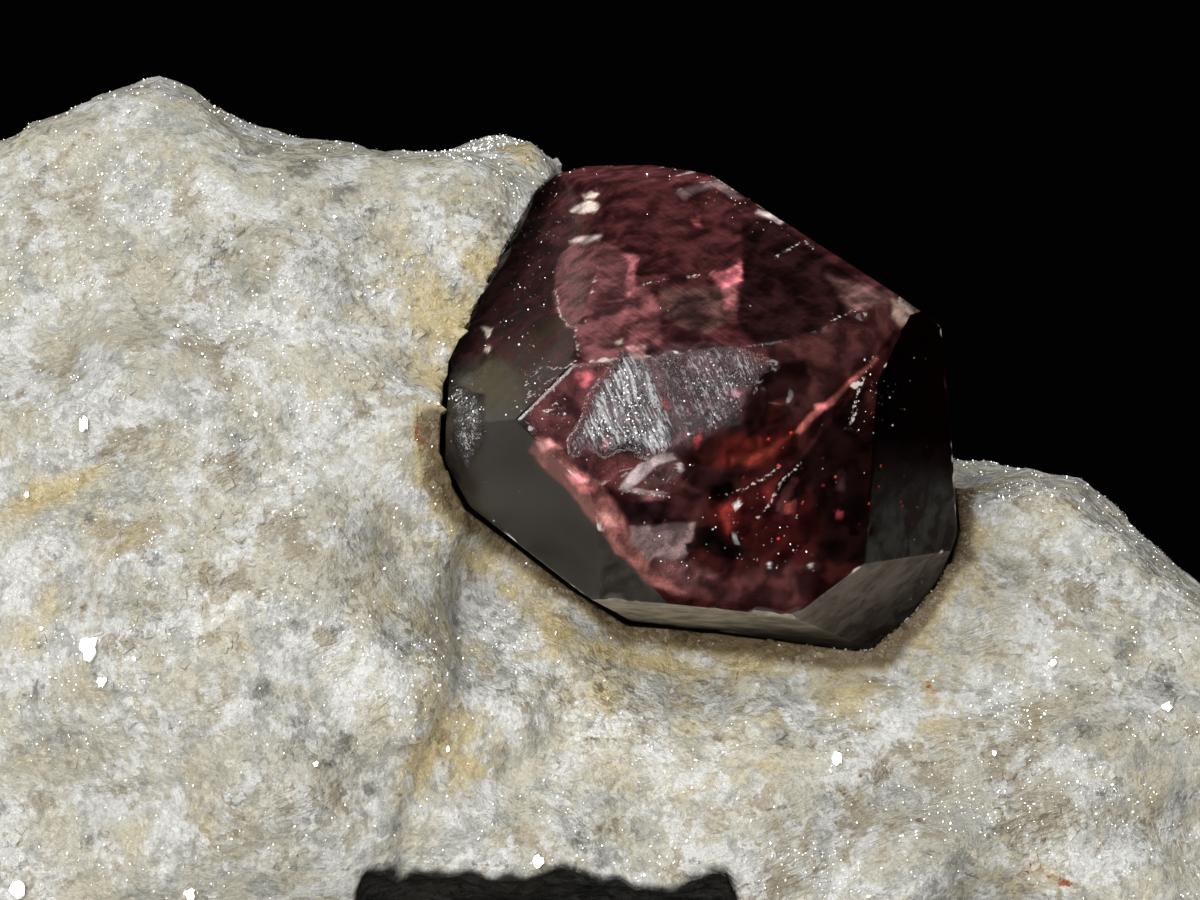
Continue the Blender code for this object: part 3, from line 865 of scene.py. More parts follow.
def garnet_material(looks):
    """Clear deep red crystal that takes in green and blue light, with veils and broken planes
    just under its skin, and painted glow, highlights and shade among them: inner holds their
    colour and share. Marks, such as flecks, cracks and chips, are lighter, and so are the painted
    silvery sheen on the etching and the painted red glints."""
    material, tree, output = start_material("clear red garnet")
    place = mm_place(tree)
    frost, etch = attribute(tree, "frost"), attribute(tree, "etch")
    inner = put(tree, "Attribute", attribute_name="inner")
    smear = cloud(tree, place, 0.48, 4.0, 0.55, 0.4)
    wisps = strands(tree, WISPS_ALONG, 0.16, 0.9, 3.0, 0.5, 0.4)
    hairs = strands(tree, HAIRS_ALONG, 0.03, 2.6, 2.0, 0.5, 0.1)
    grit = cloud(tree, place, 0.07, 3.0, 0.7)
    lightness = ranged(tree, smear, 0.30, 0.70, 0.45, 1.65)
    lightness = product(tree, lightness, ranged(tree, wisps, 0.32, 0.68, 0.88, 1.15))
    lightness = product(tree, lightness, ranged(tree, hairs, 0.40, 0.72, 0.92, 1.35))
    evened = product(tree, frost, 0.75)
    lightness = product(tree, lightness, math_of(tree, "SUBTRACT", 1.0, evened))
    lightness = math_of(tree, "ADD", lightness, evened)
    colour = scaled(tree, inner.outputs["Color"], lightness)
    marks, painted_sheen, spark, streaks = garnet_marks(tree, place, frost, etch, smear, wisps, grit)
    for share, top in ((marks, looks.scuff), (painted_sheen, looks.painted_sheen), (spark, looks.spark)):
        colour = over(tree, share, colour, tuple(top))
    marks = most(tree, marks, painted_sheen)
    share = product(tree, inner.outputs["Alpha"], ranged(tree, smear, 0.3, 0.7, 0.75, 1.2), clamp=True)
    share = most(tree, share, most(tree, product(tree, marks, 0.92), spark))
    rough = plus(tree, frost, 0.14, ranged(tree, smear, 0.3, 0.75, 0.03, 0.10))
    rough = plus(tree, etch, 0.04, rough)
    height = product(tree, plus(tree, streaks, 1.4, grit), product(tree, etch, 0.07))
    height = plus(tree, hairs, 0.004, height)
    height = plus(tree, product(tree, frost, grit), 0.006, height)
    bump = put(tree, "Bump", [("Height", height)], Distance=MM, Strength=1.0).outputs[0]
    clear = put(
        tree,
        "BsdfPrincipled",
        [("Roughness", rough), ("Normal", bump)],
        Base_Color=(*looks.tint, 1.0),
        Transmission_Weight=1.0,
        IOR=looks.index,
    )
    # this layer carries the veils, and also painted glow, highlights, sheen and shade
    veil_and_painted_light = put(
        tree,
        "BsdfPrincipled",
        [("Base Color", colour), ("Normal", bump)],
        Roughness=0.3,
        Specular_IOR_Level=0.04,
    )
    both = put(tree, "MixShader", [(0, share), (1, clear.outputs[0]), (2, veil_and_painted_light.outputs[0])])
    depth = put(tree, "VolumeAbsorption", Color=(*looks.depth_colour, 1.0), Density=looks.depth)
    tree.links.new(both.outputs[0], output.inputs["Surface"])
    tree.links.new(depth.outputs[0], output.inputs["Volume"])
    return material


def plain_material(name, colour, rough):
    """One colour with faint clouds."""
    material, tree, output = start_material(name)
    grain = cloud(tree, mm_place(tree), FLOOR_CLOUDS, 3.0)
    darker = tuple(part * FLOOR_DARKER for part in colour)
    tone = over(tree, ranged(tree, grain, 0.3, 0.7), darker, tuple(colour))
    surface = put(tree, "BsdfPrincipled", [("Base Color", tone)], Roughness=rough)
    tree.links.new(surface.outputs[0], output.inputs["Surface"])
    return material


# ---------------------------------------------------------------- what the user may change


def colour_setting(name, description, default):
    return FloatVectorProperty(
        name=name, description=description, subtype="COLOR", default=default, min=0.0, max=1.0
    )


def number_setting(name, description, default, least, most, **kind):
    return FloatProperty(
        name=name, description=description, default=default, min=least, max=most, **kind
    )


def count_setting(name, description, default, most):
    return IntProperty(name=name, description=description, default=default, min=1, max=most)


LENGTH = {"subtype": "DISTANCE", "unit": "LENGTH", "precision": 6}
POWER = {"subtype": "POWER", "unit": "POWER"}
SHARE = {"subtype": "FACTOR"}


class RockSettings(bpy.types.PropertyGroup):
    white: colour_setting("White", "Milky feldspar", (0.745, 0.74, 0.70))
    cream: colour_setting("Cream", "Duller feldspar", (0.58, 0.55, 0.45))
    grey: colour_setting("Grey", "Translucent grains", (0.43, 0.425, 0.38))
    beige: colour_setting("Beige", "Weathered patches", (0.40, 0.34, 0.24))
    quartz: colour_setting("Quartz", "Dark clear quartz", (0.16, 0.155, 0.135))
    ochre: colour_setting("Ochre", "Iron stain", (0.64, 0.51, 0.25))
    rust: colour_setting("Rust", "Strong iron stain", (0.34, 0.11, 0.025))
    # the seam colour is also the colour of the painted shade along the crystal's lower edge
    seam: colour_setting("Seam", "Dark seams and dirt", (0.17, 0.12, 0.06))


class GrainSettings(bpy.types.PropertyGroup):
    pieces: count_setting("Pieces", "How many pieces the grains are split over", 1, 4)
    count: count_setting("Count", "Grains in each piece", 5000, 16500)
    size: number_setting("Size", "Usual width of a grain", 0.00017, 0.00005, 0.001, **LENGTH)
    variety: number_setting("Variety", "Spread of the grains' sizes", 0.4, 0.0, 1.0)
    lean: number_setting("Lean", "How far grains lean from the surface", 0.22, 0.0, 2.0)


class MicaSettings(bpy.types.PropertyGroup):
    count: count_setting("Count", "Small mica plates", 12000, 12400)
    bright: number_setting("Bright", "Share turned to gleam at the front", 0.7, 0.0, 1.0, **SHARE)
    size: number_setting("Size", "Width of a small plate", 0.000037, 0.00002, 0.0005, **LENGTH)
    lean: number_setting("Lean", "How far plates lean from the surface", 0.6, 0.0, 2.0)


class FleckSettings(bpy.types.PropertyGroup):
    count: count_setting("Count", "Scales on the garnet", 1300, 12400)
    size: number_setting("Size", "Width of a scale", 0.000027, 0.00001, 0.001, **LENGTH)
    etched: number_setting("Etched", "How many more lie on the etching", 7.0, 0.0, 100.0)
    plain: number_setting("Plain", "How many lie on clear faces", 0.03, 0.0, 10.0)
    bright: number_setting("Bright", "Share turned to gleam at the front", 0.3, 0.0, 1.0, **SHARE)


class GarnetSettings(bpy.types.PropertyGroup):
    tint: colour_setting("Tint", "Tint of the skin", (0.90, 0.55, 0.55))
    depth_colour: colour_setting("Depth colour", "Light that it lets through", (0.70, 0.03, 0.05))
    depth: number_setting("Depth", "How fast it takes in light, per metre", 1400.0, 0.0, 5000.0)
    scuff: colour_setting("Scuff", "Chips and scuffs", (0.78, 0.68, 0.62))
    # painted sheen of the etched streaks
    painted_sheen: colour_setting("Silver", "Etched streaks", (1.0, 0.97, 1.0))
    spark: colour_setting("Spark", "Small red glints", (0.75, 0.06, 0.04))
    index: number_setting("Refraction", "Index of refraction", 1.80, 1.0, 2.5)


class StageSettings(bpy.types.PropertyGroup):
    floor_radius: number_setting("Floor radius", "Radius of the floor", 0.052, 0.02, 1.0, **LENGTH)
    floor_colour: colour_setting("Floor", "Colour of the floor", (0.62, 0.61, 0.59))
    backdrop: colour_setting("Backdrop", "Colour beyond the floor", (0.0006, 0.0006, 0.0007))
    key_power: number_setting("Key light", "Power of the main light", 1.25, 0.0, 1000.0, **POWER)
    fill_power: number_setting("Fill light", "Power of the other lights", 0.9, 0.0, 1000.0, **POWER)


# ---------------------------------------------------------------- building the pieces


def cut_shape(rows, cutters):
    """The closed skin over the rows with the cutters' shapes taken out, as one mesh."""
    points, faces = closed_rows(rows)
    skin = add_object("rock_skin", mesh_of("rock_skin", points, faces))
    for number, cutter in enumerate(cutters):
        tool = add_object(f"cutter{number}", cutter)
        cut = skin.modifiers.new("cut", "BOOLEAN")
        cut.operation = "DIFFERENCE"
        cut.solver = "MANIFOLD"
        cut.object = tool
    graph = bpy.context.evaluated_depsgraph_get()
    mesh = bpy.data.meshes.new_from_object(skin.evaluated_get(graph))
    for thing in [skin] + [cut.object for cut in skin.modifiers]:
        bpy.data.objects.remove(thing, do_unlink=True)
    return mesh


def ground_block():
    """A block whose top is the flat base."""
    body = bmesh.new()
    bmesh.ops.create_cube(body, size=MM)
    bmesh.ops.scale(body, vec=GROUND_SIZE, verts=body.verts[:])
    bmesh.ops.translate(body, vec=(0.0, 0.0, -GROUND_SIZE[2] / 2.0 * MM), verts=body.verts[:])
    return mesh_from(body, "ground")


# Stains on the front drawing: middle (right, up), half-widths, turn in degrees, strength
OCHRE_STAINS = (
    (-3.2, 1.8, 0.9, 2.6, 0, 0.45), (-0.6, -3.9, 2.6, 0.9, -22, 0.42), (4.0, -4.9, 3.6, 0.8, 4, 0.36),
    (-3.1, -4.6, 1.3, 2.0, 0, 0.34), (-2.9, -0.9, 0.6, 1.2, 0, 1.0), (-2.16, 3.64, 0.44, 1.1, 62, 0.9),
    (-2.9, 2.4, 0.6, 1.0, 70, 0.8), (-3.5, 2.9, 0.64, 0.9, 0, 0.7), (-3.2, 0.6, 0.4, 1.6, 0, 1.0),
    (-3.04, -1.1, 0.52, 0.8, 0, 1.0), (-3.5, 0.0, 0.32, 0.4, 0, 0.9), (-2.3, -2.2, 0.68, 0.6, -30, 1.0),
    (-1.2, -3.24, 1.2, 0.44, -32, 1.0), (0.8, -4.1, 1.6, 0.32, -10, 0.9),
    (3.2, -4.36, 1.8, 0.28, 4, 0.7), (6.7, -3.0, 0.24, 1.1, -32, 1.0), (6.1, -4.0, 0.6, 0.32, 30, 0.8),
    (-3.4, -5.9, 0.48, 1.0, -20, 0.8), (-2.9, -6.2, 0.8, 0.8, 0, 0.6),
    (-10.96, -0.84, 1.4, 0.24, 24, 0.9), (-9.76, -1.96, 1.2, 0.28, 20, 0.5),
    (-11.2, -3.2, 0.28, 1.2, -30, 0.5), (8.8, -8.48, 0.8, 0.44, 10, 0.8),
    (6.6, -5.0, 0.32, 1.0, 10, 0.6), (-5.6, 0.6, 0.28, 0.52, 0, 0.6), (-4.2, 6.6, 1.2, 0.28, 0, 0.3),
    (-1.6, 6.0, 0.6, 0.4, 0, 0.7), (7.4, -2.2, 0.4, 0.8, 20, 0.5), (0.0, -5.0, 1.2, 0.4, 0, 0.4),
    (-8.4, -7.6, 1.2, 0.32, 10, 0.4), (2.0, -6.8, 1.2, 0.28, 12, 0.4),
)
RUST_STAINS = (
    (-3.6, 0.26, 0.12, 0.32, 6, 1.0), (8.6, -8.36, 0.26, 0.12, 30, 0.9),
    (9.16, -8.64, 0.18, 0.1, 0, 0.8), (6.68, -4.76, 0.14, 0.12, 0, 0.9),
)
TAN_STAINS = (
    (5.2, -7.3, 2.6, 0.7, 20, 1.0), (6.4, -6.1, 1.6, 0.35, 22, 0.9), (8.6, -7.4, 1.4, 0.5, 15, 0.8),
    (4.0, -8.3, 1.6, 0.4, 20, 0.9), (-9.8, 0.06, 0.52, 0.32, 20, 1.0),
    (-7.3, -0.16, 0.36, 0.52, 0, 1.0), (-9.54, -1.62, 0.6, 0.28, 15, 0.9),
    (-7.38, -2.62, 0.6, 0.28, -10, 1.0), (-10.46, -3.0, 0.52, 0.4, 30, 0.9),
    (-9.46, -3.1, 0.68, 0.2, -12, 1.0), (-6.3, -1.62, 0.44, 0.68, 0, 0.8),
    (-7.7, -4.8, 0.4, 0.4, 0, 0.7), (-10.8, 2.2, 0.6, 0.4, 30, 0.6), (-9.8, -6.8, 0.8, 0.28, 10, 0.6),
    (-5.4, -3.8, 0.48, 0.6, 0, 0.7), (-11.6, 1.0, 0.4, 0.52, 0, 0.6), (-7.2, 2.2, 0.68, 0.24, 30, 0.7),
    (-6.0, -7.0, 0.8, 0.32, 20, 0.6), (4.4, -5.8, 1.2, 0.48, 15, 0.6), (6.0, -7.0, 1.6, 0.4, 25, 0.7),
    (8.2, -6.2, 1.2, 0.6, 20, 0.7), (0.0, -7.6, 1.6, 0.32, 5, 0.6), (9.7, -2.8, 1.0, 0.48, -20, 0.7),
    (-11.6, 4.0, 0.32, 1.2, -20, 0.6), (-8.6, 5.4, 0.28, 0.8, -24, 0.5),
    (10.6, -7.6, 1.0, 0.48, 20, 0.6), (-2.0, -7.4, 0.8, 0.4, 0, 0.5), (7.7, -3.8, 0.6, 0.8, -20, 0.6),
)
QUARTZ_STAINS = (
    (-9.62, -1.06, 0.2, 0.14, 0, 1.0), (-10.12, -1.36, 0.24, 0.2, 0, 1.0),
    (-8.92, -2.1, 0.3, 0.16, -20, 1.0), (-8.16, -1.48, 0.18, 0.16, 0, 1.0),
    (-11.24, -4.8, 0.36, 0.28, 0, 0.9), (-6.62, -4.86, 0.34, 0.28, 30, 1.0),
    (-8.34, -5.56, 0.18, 0.26, 20, 1.1), (-7.94, -7.36, 0.2, 0.14, 0, 1.1),
    (-5.3, -3.6, 0.24, 0.16, 20, 1.1), (-6.0, -5.4, 0.28, 0.2, 0, 0.9),
    (-5.1, -5.9, 0.24, 0.4, -20, 1.1), (-4.56, -6.8, 0.2, 0.28, 0, 1.0),
    (-5.5, -6.3, 0.32, 0.2, 0, 0.8), (-6.2, -6.04, 0.2, 0.28, 0, 0.8), (9.7, -3.08, 0.24, 0.18, 0, 1.0),
    (10.54, -4.08, 0.24, 0.4, -20, 1.1), (11.3, -4.6, 0.36, 0.44, 0, 1.0),
    (8.54, -5.38, 0.28, 0.18, 20, 0.9), (9.6, -4.92, 0.4, 0.24, -20, 0.9),
    (9.84, -5.6, 0.32, 0.32, 0, 1.0), (10.3, -5.52, 0.28, 0.2, 0, 0.8),
    (-6.0, 5.64, 0.68, 0.16, 14, 1.0), (-5.1, 5.2, 0.6, 0.22, 20, 1.1),
    (-4.5, 4.76, 0.52, 0.16, 22, 1.0), (-6.8, 6.0, 0.8, 0.16, 8, 0.8), (-7.7, 3.8, 0.48, 1.0, -30, 0.7),
    (-9.0, 2.4, 0.4, 0.6, 0, 0.6), (3.6, -5.8, 0.4, 0.32, 0, 0.9), (4.6, -6.8, 0.6, 0.2, 20, 0.8),
    (6.0, -5.9, 0.32, 0.2, 0, 0.8), (10.0, -6.8, 0.52, 0.24, 0, 0.7), (-10.8, -2.2, 0.28, 0.2, 0, 0.8),
    (-0.5, -7.8, 0.4, 0.2, 0, 0.8), (1.8, -8.2, 0.52, 0.2, 0, 0.7), (-10.2, -7.7, 0.44, 0.24, 0, 0.8),
    (-7.2, -7.0, 0.28, 0.2, 0, 0.8), (11.0, -2.2, 0.48, 0.32, -40, 0.7),
    (-11.2, 5.4, 0.2, 0.6, -24, 0.8), (11.6, -7.0, 0.4, 0.28, 0, 0.8), (7.8, -7.6, 0.8, 0.2, 15, 0.8),
)
# Lighter and darker areas, in the same way
MILKY_AREAS = (
    (0.6, -5.5, 3.6, 1.1, -6, 1.0), (-1.2, -4.4, 1.6, 0.8, -25, 0.8), (3.6, -6.4, 2.2, 0.7, 5, 0.5),
    (-5.2, -3.9, 0.8, 0.6, 20, 0.8), (-7.6, -3.2, 0.9, 0.4, 10, 0.7), (-4.6, 2.6, 0.9, 0.9, 0, 0.8),
    (9.3, -1.4, 0.9, 0.6, -30, 0.5),
)
DULL_AREAS = (
    (6.4, -7.3, 3.6, 1.0, 18, 1.0), (9.8, -5.6, 1.4, 1.2, 0, 0.7), (-9.6, -7.0, 1.8, 1.0, 10, 0.6),
    (-10.4, 1.6, 1.2, 1.0, 20, 0.6), (-8.6, -1.2, 1.4, 0.9, 10, 0.6), (-5.6, -6.2, 1.0, 1.0, 0, 0.6),
)
# Seams in the rock, as lines of the front drawing in hundredths of a mm
SEAM_LINES = (
    ((280, -724), (340, -712), (440, -696), (542, -670), (610, -644)),
    ((278, -880), (360, -836), (484, -792), (600, -748), (720, -712), (820, -692)),
    ((400, -680), (520, -650), (700, -620), (900, -580)),
    ((-346, -466), (-370, -540), (-390, -620), (-404, -724)),
    ((-324, -284), (-296, -220), (-270, -160)),
    ((-1110, 440), (-1090, 490), (-1060, 540)),
    ((-820, 300), (-780, 220), (-710, 196), (-640, 200), (-540, 220)),
    ((-1200, -140), (-1080, -90), (-980, -40)),
    ((-1160, -410), (-1080, -380), (-1030, -300), (-990, -220)),
    ((-820, -40), (-770, -10), (-720, 30)),
    ((-940, 300), (-900, 220), (-870, 100)),
    ((680, -820), (800, -800), (920, -776)),
    ((980, -844), (1100, -800)),
    ((320, -620), (440, -584), (600, -544)),
    ((-510, -836), (-360, -816), (-160, -836)),
    ((-80, -570), (80, -584), (240, -576)),
    ((-700, -220), (-600, -270), (-510, -260)),
    ((-540, 460), (-470, 428), (-360, 436)),
    ((800, -220), (880, -300), (900, -400)),
)
STAINS = {"ochre": OCHRE_STAINS, "rust": RUST_STAINS, "tan": TAN_STAINS, "quartz": QUARTZ_STAINS}


# Where the crystal's lower side meets the rock, in the same way
CONTACT_LINE = (
    (-320, 40), (-308, -40), (-274, -108), (-140, -204), (-6, -298), (72, -352), (280, -380),
    (510, -400), (556, -396), (630, -306), (706, -206), (714, -94),
)


MILKY_LIGHTER = 0.17
DULL_DARKER = 0.15
# How dark the painted shade under the arch is, and where it lies
ARCH_PAINTED_SHADE = 0.93
ARCH_SHADE_ABOVE = 0.2
ARCH_SHADE_FADE = 0.15
ARCH_SHADE_EDGE = 0.3
SKIN_TONE = 0.95
CONTACT_REACH = 1.0
CONTACT_WAVES = ((0.6, 0.15),)
CONTACT_SEED = 631
# How noise moves the drawing: (wavelength, height) to the right and up, and the seed
STAIN_BEND = (((0.7, 0.16),), ((0.5, 0.12),), 611)
SEAM_BEND = (((0.5, 0.08),), ((0.5, 0.08),), 621)
MARK_BEND = (((0.4, 0.05), (0.15, 0.02)), ((0.4, 0.05), (0.15, 0.02)), 311)


def bent_drawing(points, centre, right, up, seed):
    """Where points from a centre fall on the front drawing, each moved by waves of noise."""
    u, v = front_drawing(points + centre)
    return u + waves(points, right, seed, 2), v + waves(points, up, seed + 1, 2)


def stain(points, spots):
    """The strongest of the spots at each point: strength x e^(-r^2), r in the turned ellipse of
    the front drawing, fading out behind."""
    u, v = bent_drawing(points, BASE_CENTRE, *STAIN_BEND)
    total = np.zeros(len(points))
    for middle_u, middle_v, half_u, half_v, turn, strength in spots:
        angle = math.radians(turn)
        right, up = u - middle_u, v - middle_v
        along = (right * math.cos(angle) + up * math.sin(angle)) / half_u
        across = (up * math.cos(angle) - right * math.sin(angle)) / half_v
        total = np.maximum(total, strength * np.exp(-(along**2) - across**2))
    return total * smooth_step(1.0 - points[:, 1])


def seams(points):
    """Distance on the front drawing to the nearest seam line: 1 at most, and 1 behind."""
    near = lines_distance(*bent_drawing(points, BASE_CENTRE, *SEAM_BEND), SEAM_LINES)
    return np.where(points[:, 1] < 0.0, near, 1.0)


def contact(points):
    """1 at the lower contact with the crystal, falling to 0 at CONTACT_REACH from it."""
    near = line_distance(*front_drawing(points + BASE_CENTRE), CONTACT_LINE)
    near = near + waves(points, CONTACT_WAVES, CONTACT_SEED)
    return smooth_step(1.0 - near / CONTACT_REACH) * (points[:, 1] < 0.0)


def under_arch(points):
    """1 on the arch's roof and walls, 0 outside it."""
    roof = arch_roof(*(points + BASE_CENTRE)[:, :2].T)
    below = smooth_step((roof + ARCH_SHADE_ABOVE - points[:, 2]) / ARCH_SHADE_FADE)
    return below * smooth_step(roof / ARCH_SHADE_EDGE)


def stain_mesh(mesh, tone):
    """Gives each point of the mesh its stains, its distance to the seams and its tone, which is
    darkened under the arch as painted shade."""
    points = vertex_points(mesh)
    for name, spots in STAINS.items():
        set_attribute(mesh, name, stain(points, spots))
    set_attribute(mesh, "seam", seams(points))
    set_attribute(mesh, "contact", contact(points))
    milky, dull = stain(points, MILKY_AREAS), stain(points, DULL_AREAS)
    tone = tone * (1.0 + MILKY_LIGHTER * milky - DULL_DARKER * dull)
    # painted shade: the tone is darkened on the arch's roof and walls, which the rock above shades
    set_attribute(mesh, "tone", tone * (1.0 - ARCH_PAINTED_SHADE * under_arch(points)))


class ROCK_OT_build(bpy.types.Operator):
    """Builds the rock's fine skin, cut flat below and hollowed where the garnet sits"""

    bl_idname = "mineral.rock"
    bl_label = "Rock"

    def execute(self, context):
        seat = crystal_block("seat", SEAM)
        clear_view = crystal_block("clear view", VIEW_SEAM, VIEW_SWEEP)
        mesh = cut_shape(rock_skin(), (ground_block(), seat, clear_view))
        mesh.name = "rock_skin"
        stain_mesh(mesh, np.full(len(mesh.vertices), SKIN_TONE))
        mesh.shade_smooth()
        finish = rock_material(context.scene.mineral_rock, "white granular rock")
        skin = add_object("rock_skin", mesh, finish)
        finish_piece(skin, "rock", "matrix")
        return {"FINISHED"}


PLATE_THICKNESS = 0.06  # half the thickness, as a share of the width
PLATE_NARROWEST = 0.5
CORNER_STRAY = 0.3
BLOCK_WIDTH = (0.5, 1.0)
BLOCK_HEIGHT = (0.3, 0.6)
BLOCK_DRAWN_IN = (0.6, 1.0)
BLOCK_FACES = ((0, 1, 3, 2), (4, 6, 7, 5), (0, 4, 5, 1), (2, 3, 7, 6), (0, 2, 6, 4), (1, 5, 7, 3))
# Where scattered pieces lie: noise wavelength, seed, threshold, rise
COARSE_PATCHES = (2.2, 77, 0.15, 0.35)
CRUMBLY_PATCHES = (2.3, 83, 0.05, 0.6)
MICA_PATCHES = (1.4, 91, 0.05, 0.5)
CHIPPED_PATCHES = (0.9, 421, -0.3, 0.6)
FOOT_CLEAR = 0.4
BARE_RIM = 0.14
BARE_FADE = 0.12
ARCH_BARE = 0.01
GRAIN_SPOT_SEED = 40
GRAIN_ELSEWHERE = 0.02
GRAIN_FRONT_FADE = 4.0
GRAIN_LARGEST = 1.7
GRAIN_SUNK = (-0.23, -0.10)
GRAIN_RAISED = 0.16
GRAIN_TONE = (0.97, 0.05)
GRAIN_TONE_ENDS = (0.8, 1.15)
MICA_SEED = 12
MICA_VARIETY = 0.35
MICA_STANDING = 0.03
MICA_ELSEWHERE = 0.2
MICA_RIGHT = 0.8
MICA_RIGHT_FROM = -4.0
MICA_RIGHT_FADE = 2.0
GLINT_STANDING = 0.00012  # in metres
FLECK_SEED = 61
FLECK_VARIETY = 0.4
FLECK_STANDING = 0.012


def plates(middles, normals, widths, corners, ragged, seed):
    """Thin prisms with that many corners: rim points at middle + w (cos a u + sin a v), twice,
    half a thickness up and down the normal. Returns (points, faces)."""
    random = np.random.default_rng(seed)
    count = len(middles)
    pick = np.where(np.abs(normals[:, :1]) < 0.8, [[1.0, 0.0, 0.0]], [[0.0, 1.0, 0.0]])
    u = unit(np.cross(normals, pick))
    v = np.cross(normals, u)
    ring = np.arange(corners)
    start = random.uniform(0.0, math.tau, (count, 1))
    uneven = random.uniform(-CORNER_STRAY, CORNER_STRAY, (count, corners))
    angle = start + (ring + uneven) * math.tau / corners
    reach = widths[:, None] / 2.0 * random.uniform(1.0 - ragged, 1.0, (count, corners))
    long = random.uniform(PLATE_NARROWEST, 1.0, (count, 1))
    right = (reach * np.cos(angle))[..., None] * u[:, None]
    rim = right + (reach * long * np.sin(angle))[..., None] * v[:, None]
    half = (normals * widths[:, None] * PLATE_THICKNESS)[:, None]
    points = np.concatenate([middles[:, None] + rim + half, middles[:, None] + rim - half], axis=1)
    base = 2 * corners * np.arange(count)[:, None]
    following = (ring + 1) % corners
    sides = np.stack([ring, ring + corners, following + corners, following], axis=-1)
    quads = (base[:, :, None] + sides[None]).reshape(-1, 4)
    return points.reshape(-1, 3), (quads, np.concatenate([base + ring, base + corners + ring[::-1]]))


def add_plates(name, slot, material, *shape):
    """The piece of plates of that shape."""
    points, faces = plates(*shape)
    finish_piece(add_object(name, mesh_of(name, points, faces, smooth=False), material), slot)


def blocks(middles, normals, sizes, lean, random):
    """Broken flat crystals: the eight corners (+-a, +-b, +-c) of a low box, each drawn in by its
    own share, with c along a direction that leans from the normal. Returns (points, quads)."""
    count = len(middles)
    corner = np.array([(i, j, k) for i in (-1, 1) for j in (-1, 1) for k in (-1, 1)], float)
    width, height = random.uniform(*BLOCK_WIDTH, count), random.uniform(*BLOCK_HEIGHT, count)
    sides = np.stack([np.ones(count), width, height], axis=-1)
    shape = corner * sides[:, None] * random.uniform(*BLOCK_DRAWN_IN, (count, 8, 1))
    up = unit(normals + lean * random.normal(size=(count, 3)))
    right = unit(np.cross(up, random.normal(size=(count, 3))))
    turn = np.stack([right, np.cross(up, right), up], axis=1)
    points = middles[:, None] + np.einsum("nij,nki->nkj", turn, shape) * sizes[:, None, None] / 2.0
    quads = np.array(BLOCK_FACES)
    return points.reshape(-1, 3), (8 * np.arange(count)[:, None, None] + quads).reshape(-1, 4)


def surface_samples(mesh, count, seed, keep):
    """Random points of the mesh, evenly by area times keep (of the triangles' middles in mm), the
    surface's normals there, and the random numbers that go on from them."""
    mesh.calc_loop_triangles()
    corner = np.empty(len(mesh.loop_triangles) * 3, np.int32)
    mesh.loop_triangles.foreach_get("vertices", corner)
    trio = vertex_points(mesh)[corner.reshape(-1, 3)]
    first, second = trio[:, 1] - trio[:, 0], trio[:, 2] - trio[:, 0]
    cross = np.cross(first, second)
    area = np.linalg.norm(cross, axis=1)
    weight = area * keep(trio.mean(axis=1))
    random = np.random.default_rng(seed)
    chosen = random.choice(len(trio), count, p=weight / weight.sum())
    a, b = random.uniform(size=(2, count, 1))
    fold = a + b > 1.0
    a, b = np.where(fold, 1.0 - a, a), np.where(fold, 1.0 - b, b)
    spot = trio[chosen, 0] + a * first[chosen] + b * second[chosen]
    return spot, cross[chosen] / np.maximum(area[chosen, None], TINY), random


def varied(random, size, spread, count):
    """Widths in mm round a size in metres: size x e^n, with n normal round 0 by the spread."""
    return size / MM * np.exp(random.normal(0.0, spread, count))


def mirror_of(spots):
    """The way a plate at each spot (mm) faces to send the light's gleam to the front."""
    return unit(unit(np.array(camera_place()) / MM - spots) + np.array(GLINT_LIGHT))


def glinting(spots, normals, random, share, least, stray, lean):
    """Normals of scattered plates. That share of them, where the surface faces the mirroring way
    by the least cosine, mirror the light and stray a little; the rest lean from the surface."""
    mirror = mirror_of(spots)
    tilt = random.normal(size=spots.shape)
    turned = random.uniform(size=(len(spots), 1)) < share
    turned &= (normals * mirror).sum(1, keepdims=True) > least
    return unit(np.where(turned, mirror + stray * tilt, unit(normals + lean * tilt)))


def off_crystal(middles):
    """1 away from the crystal, the arch and the flat base, 0 at them."""
    clear = -crystal_room(middles + BASE_CENTRE - CRYSTAL_CENTRE).min(axis=1)
    away = smooth_step(middles[:, 2] / FOOT_CLEAR) * smooth_step((clear - BARE_RIM) / BARE_FADE)
    return away * (under_arch(middles) < ARCH_BARE)


class GRAINS_OT_build(bpy.types.Operator):
    """Packs small broken crystals over the rock's skin, half sunk in it"""

    bl_idname = "mineral.grains"
    bl_label = "Grains"

    def execute(self, context):
        looks = context.scene.mineral_grains
        skin = bpy.data.objects["rock_skin"]
        finish = rock_material(context.scene.mineral_rock, "white rock grains")

        def keep(middles):
            coarse = patches(middles, *COARSE_PATCHES)
            front = smooth_step(-middles[:, 1] / GRAIN_FRONT_FADE)
            return off_crystal(middles) * (GRAIN_ELSEWHERE + coarse) * (1.0 + front)

        for number in range(looks.pieces):
            name = f"grains_{number}"
            seed = GRAIN_SPOT_SEED + number
            spots, normals, random = surface_samples(skin.data, looks.count, seed, keep)
            size = varied(random, looks.size, looks.variety, looks.count)
            size = np.minimum(size, GRAIN_LARGEST * looks.size / MM)
            highest = GRAIN_SUNK[1] + GRAIN_RAISED * patches(spots, *CRUMBLY_PATCHES)
            out = random.uniform(GRAIN_SUNK[0], highest) * size
            points, quads = blocks(spots + normals * out[:, None], normals, size, looks.lean, random)
            points[:, 2] = np.maximum(points[:, 2], 0.0)
            tone = np.clip(random.normal(*GRAIN_TONE, looks.count), *GRAIN_TONE_ENDS)
            mesh = quick_mesh(name, points, quads)
            stain_mesh(mesh, np.repeat(tone, 8))
            finish_piece(add_object(name, mesh, finish), "rock")
        return {"FINISHED"}


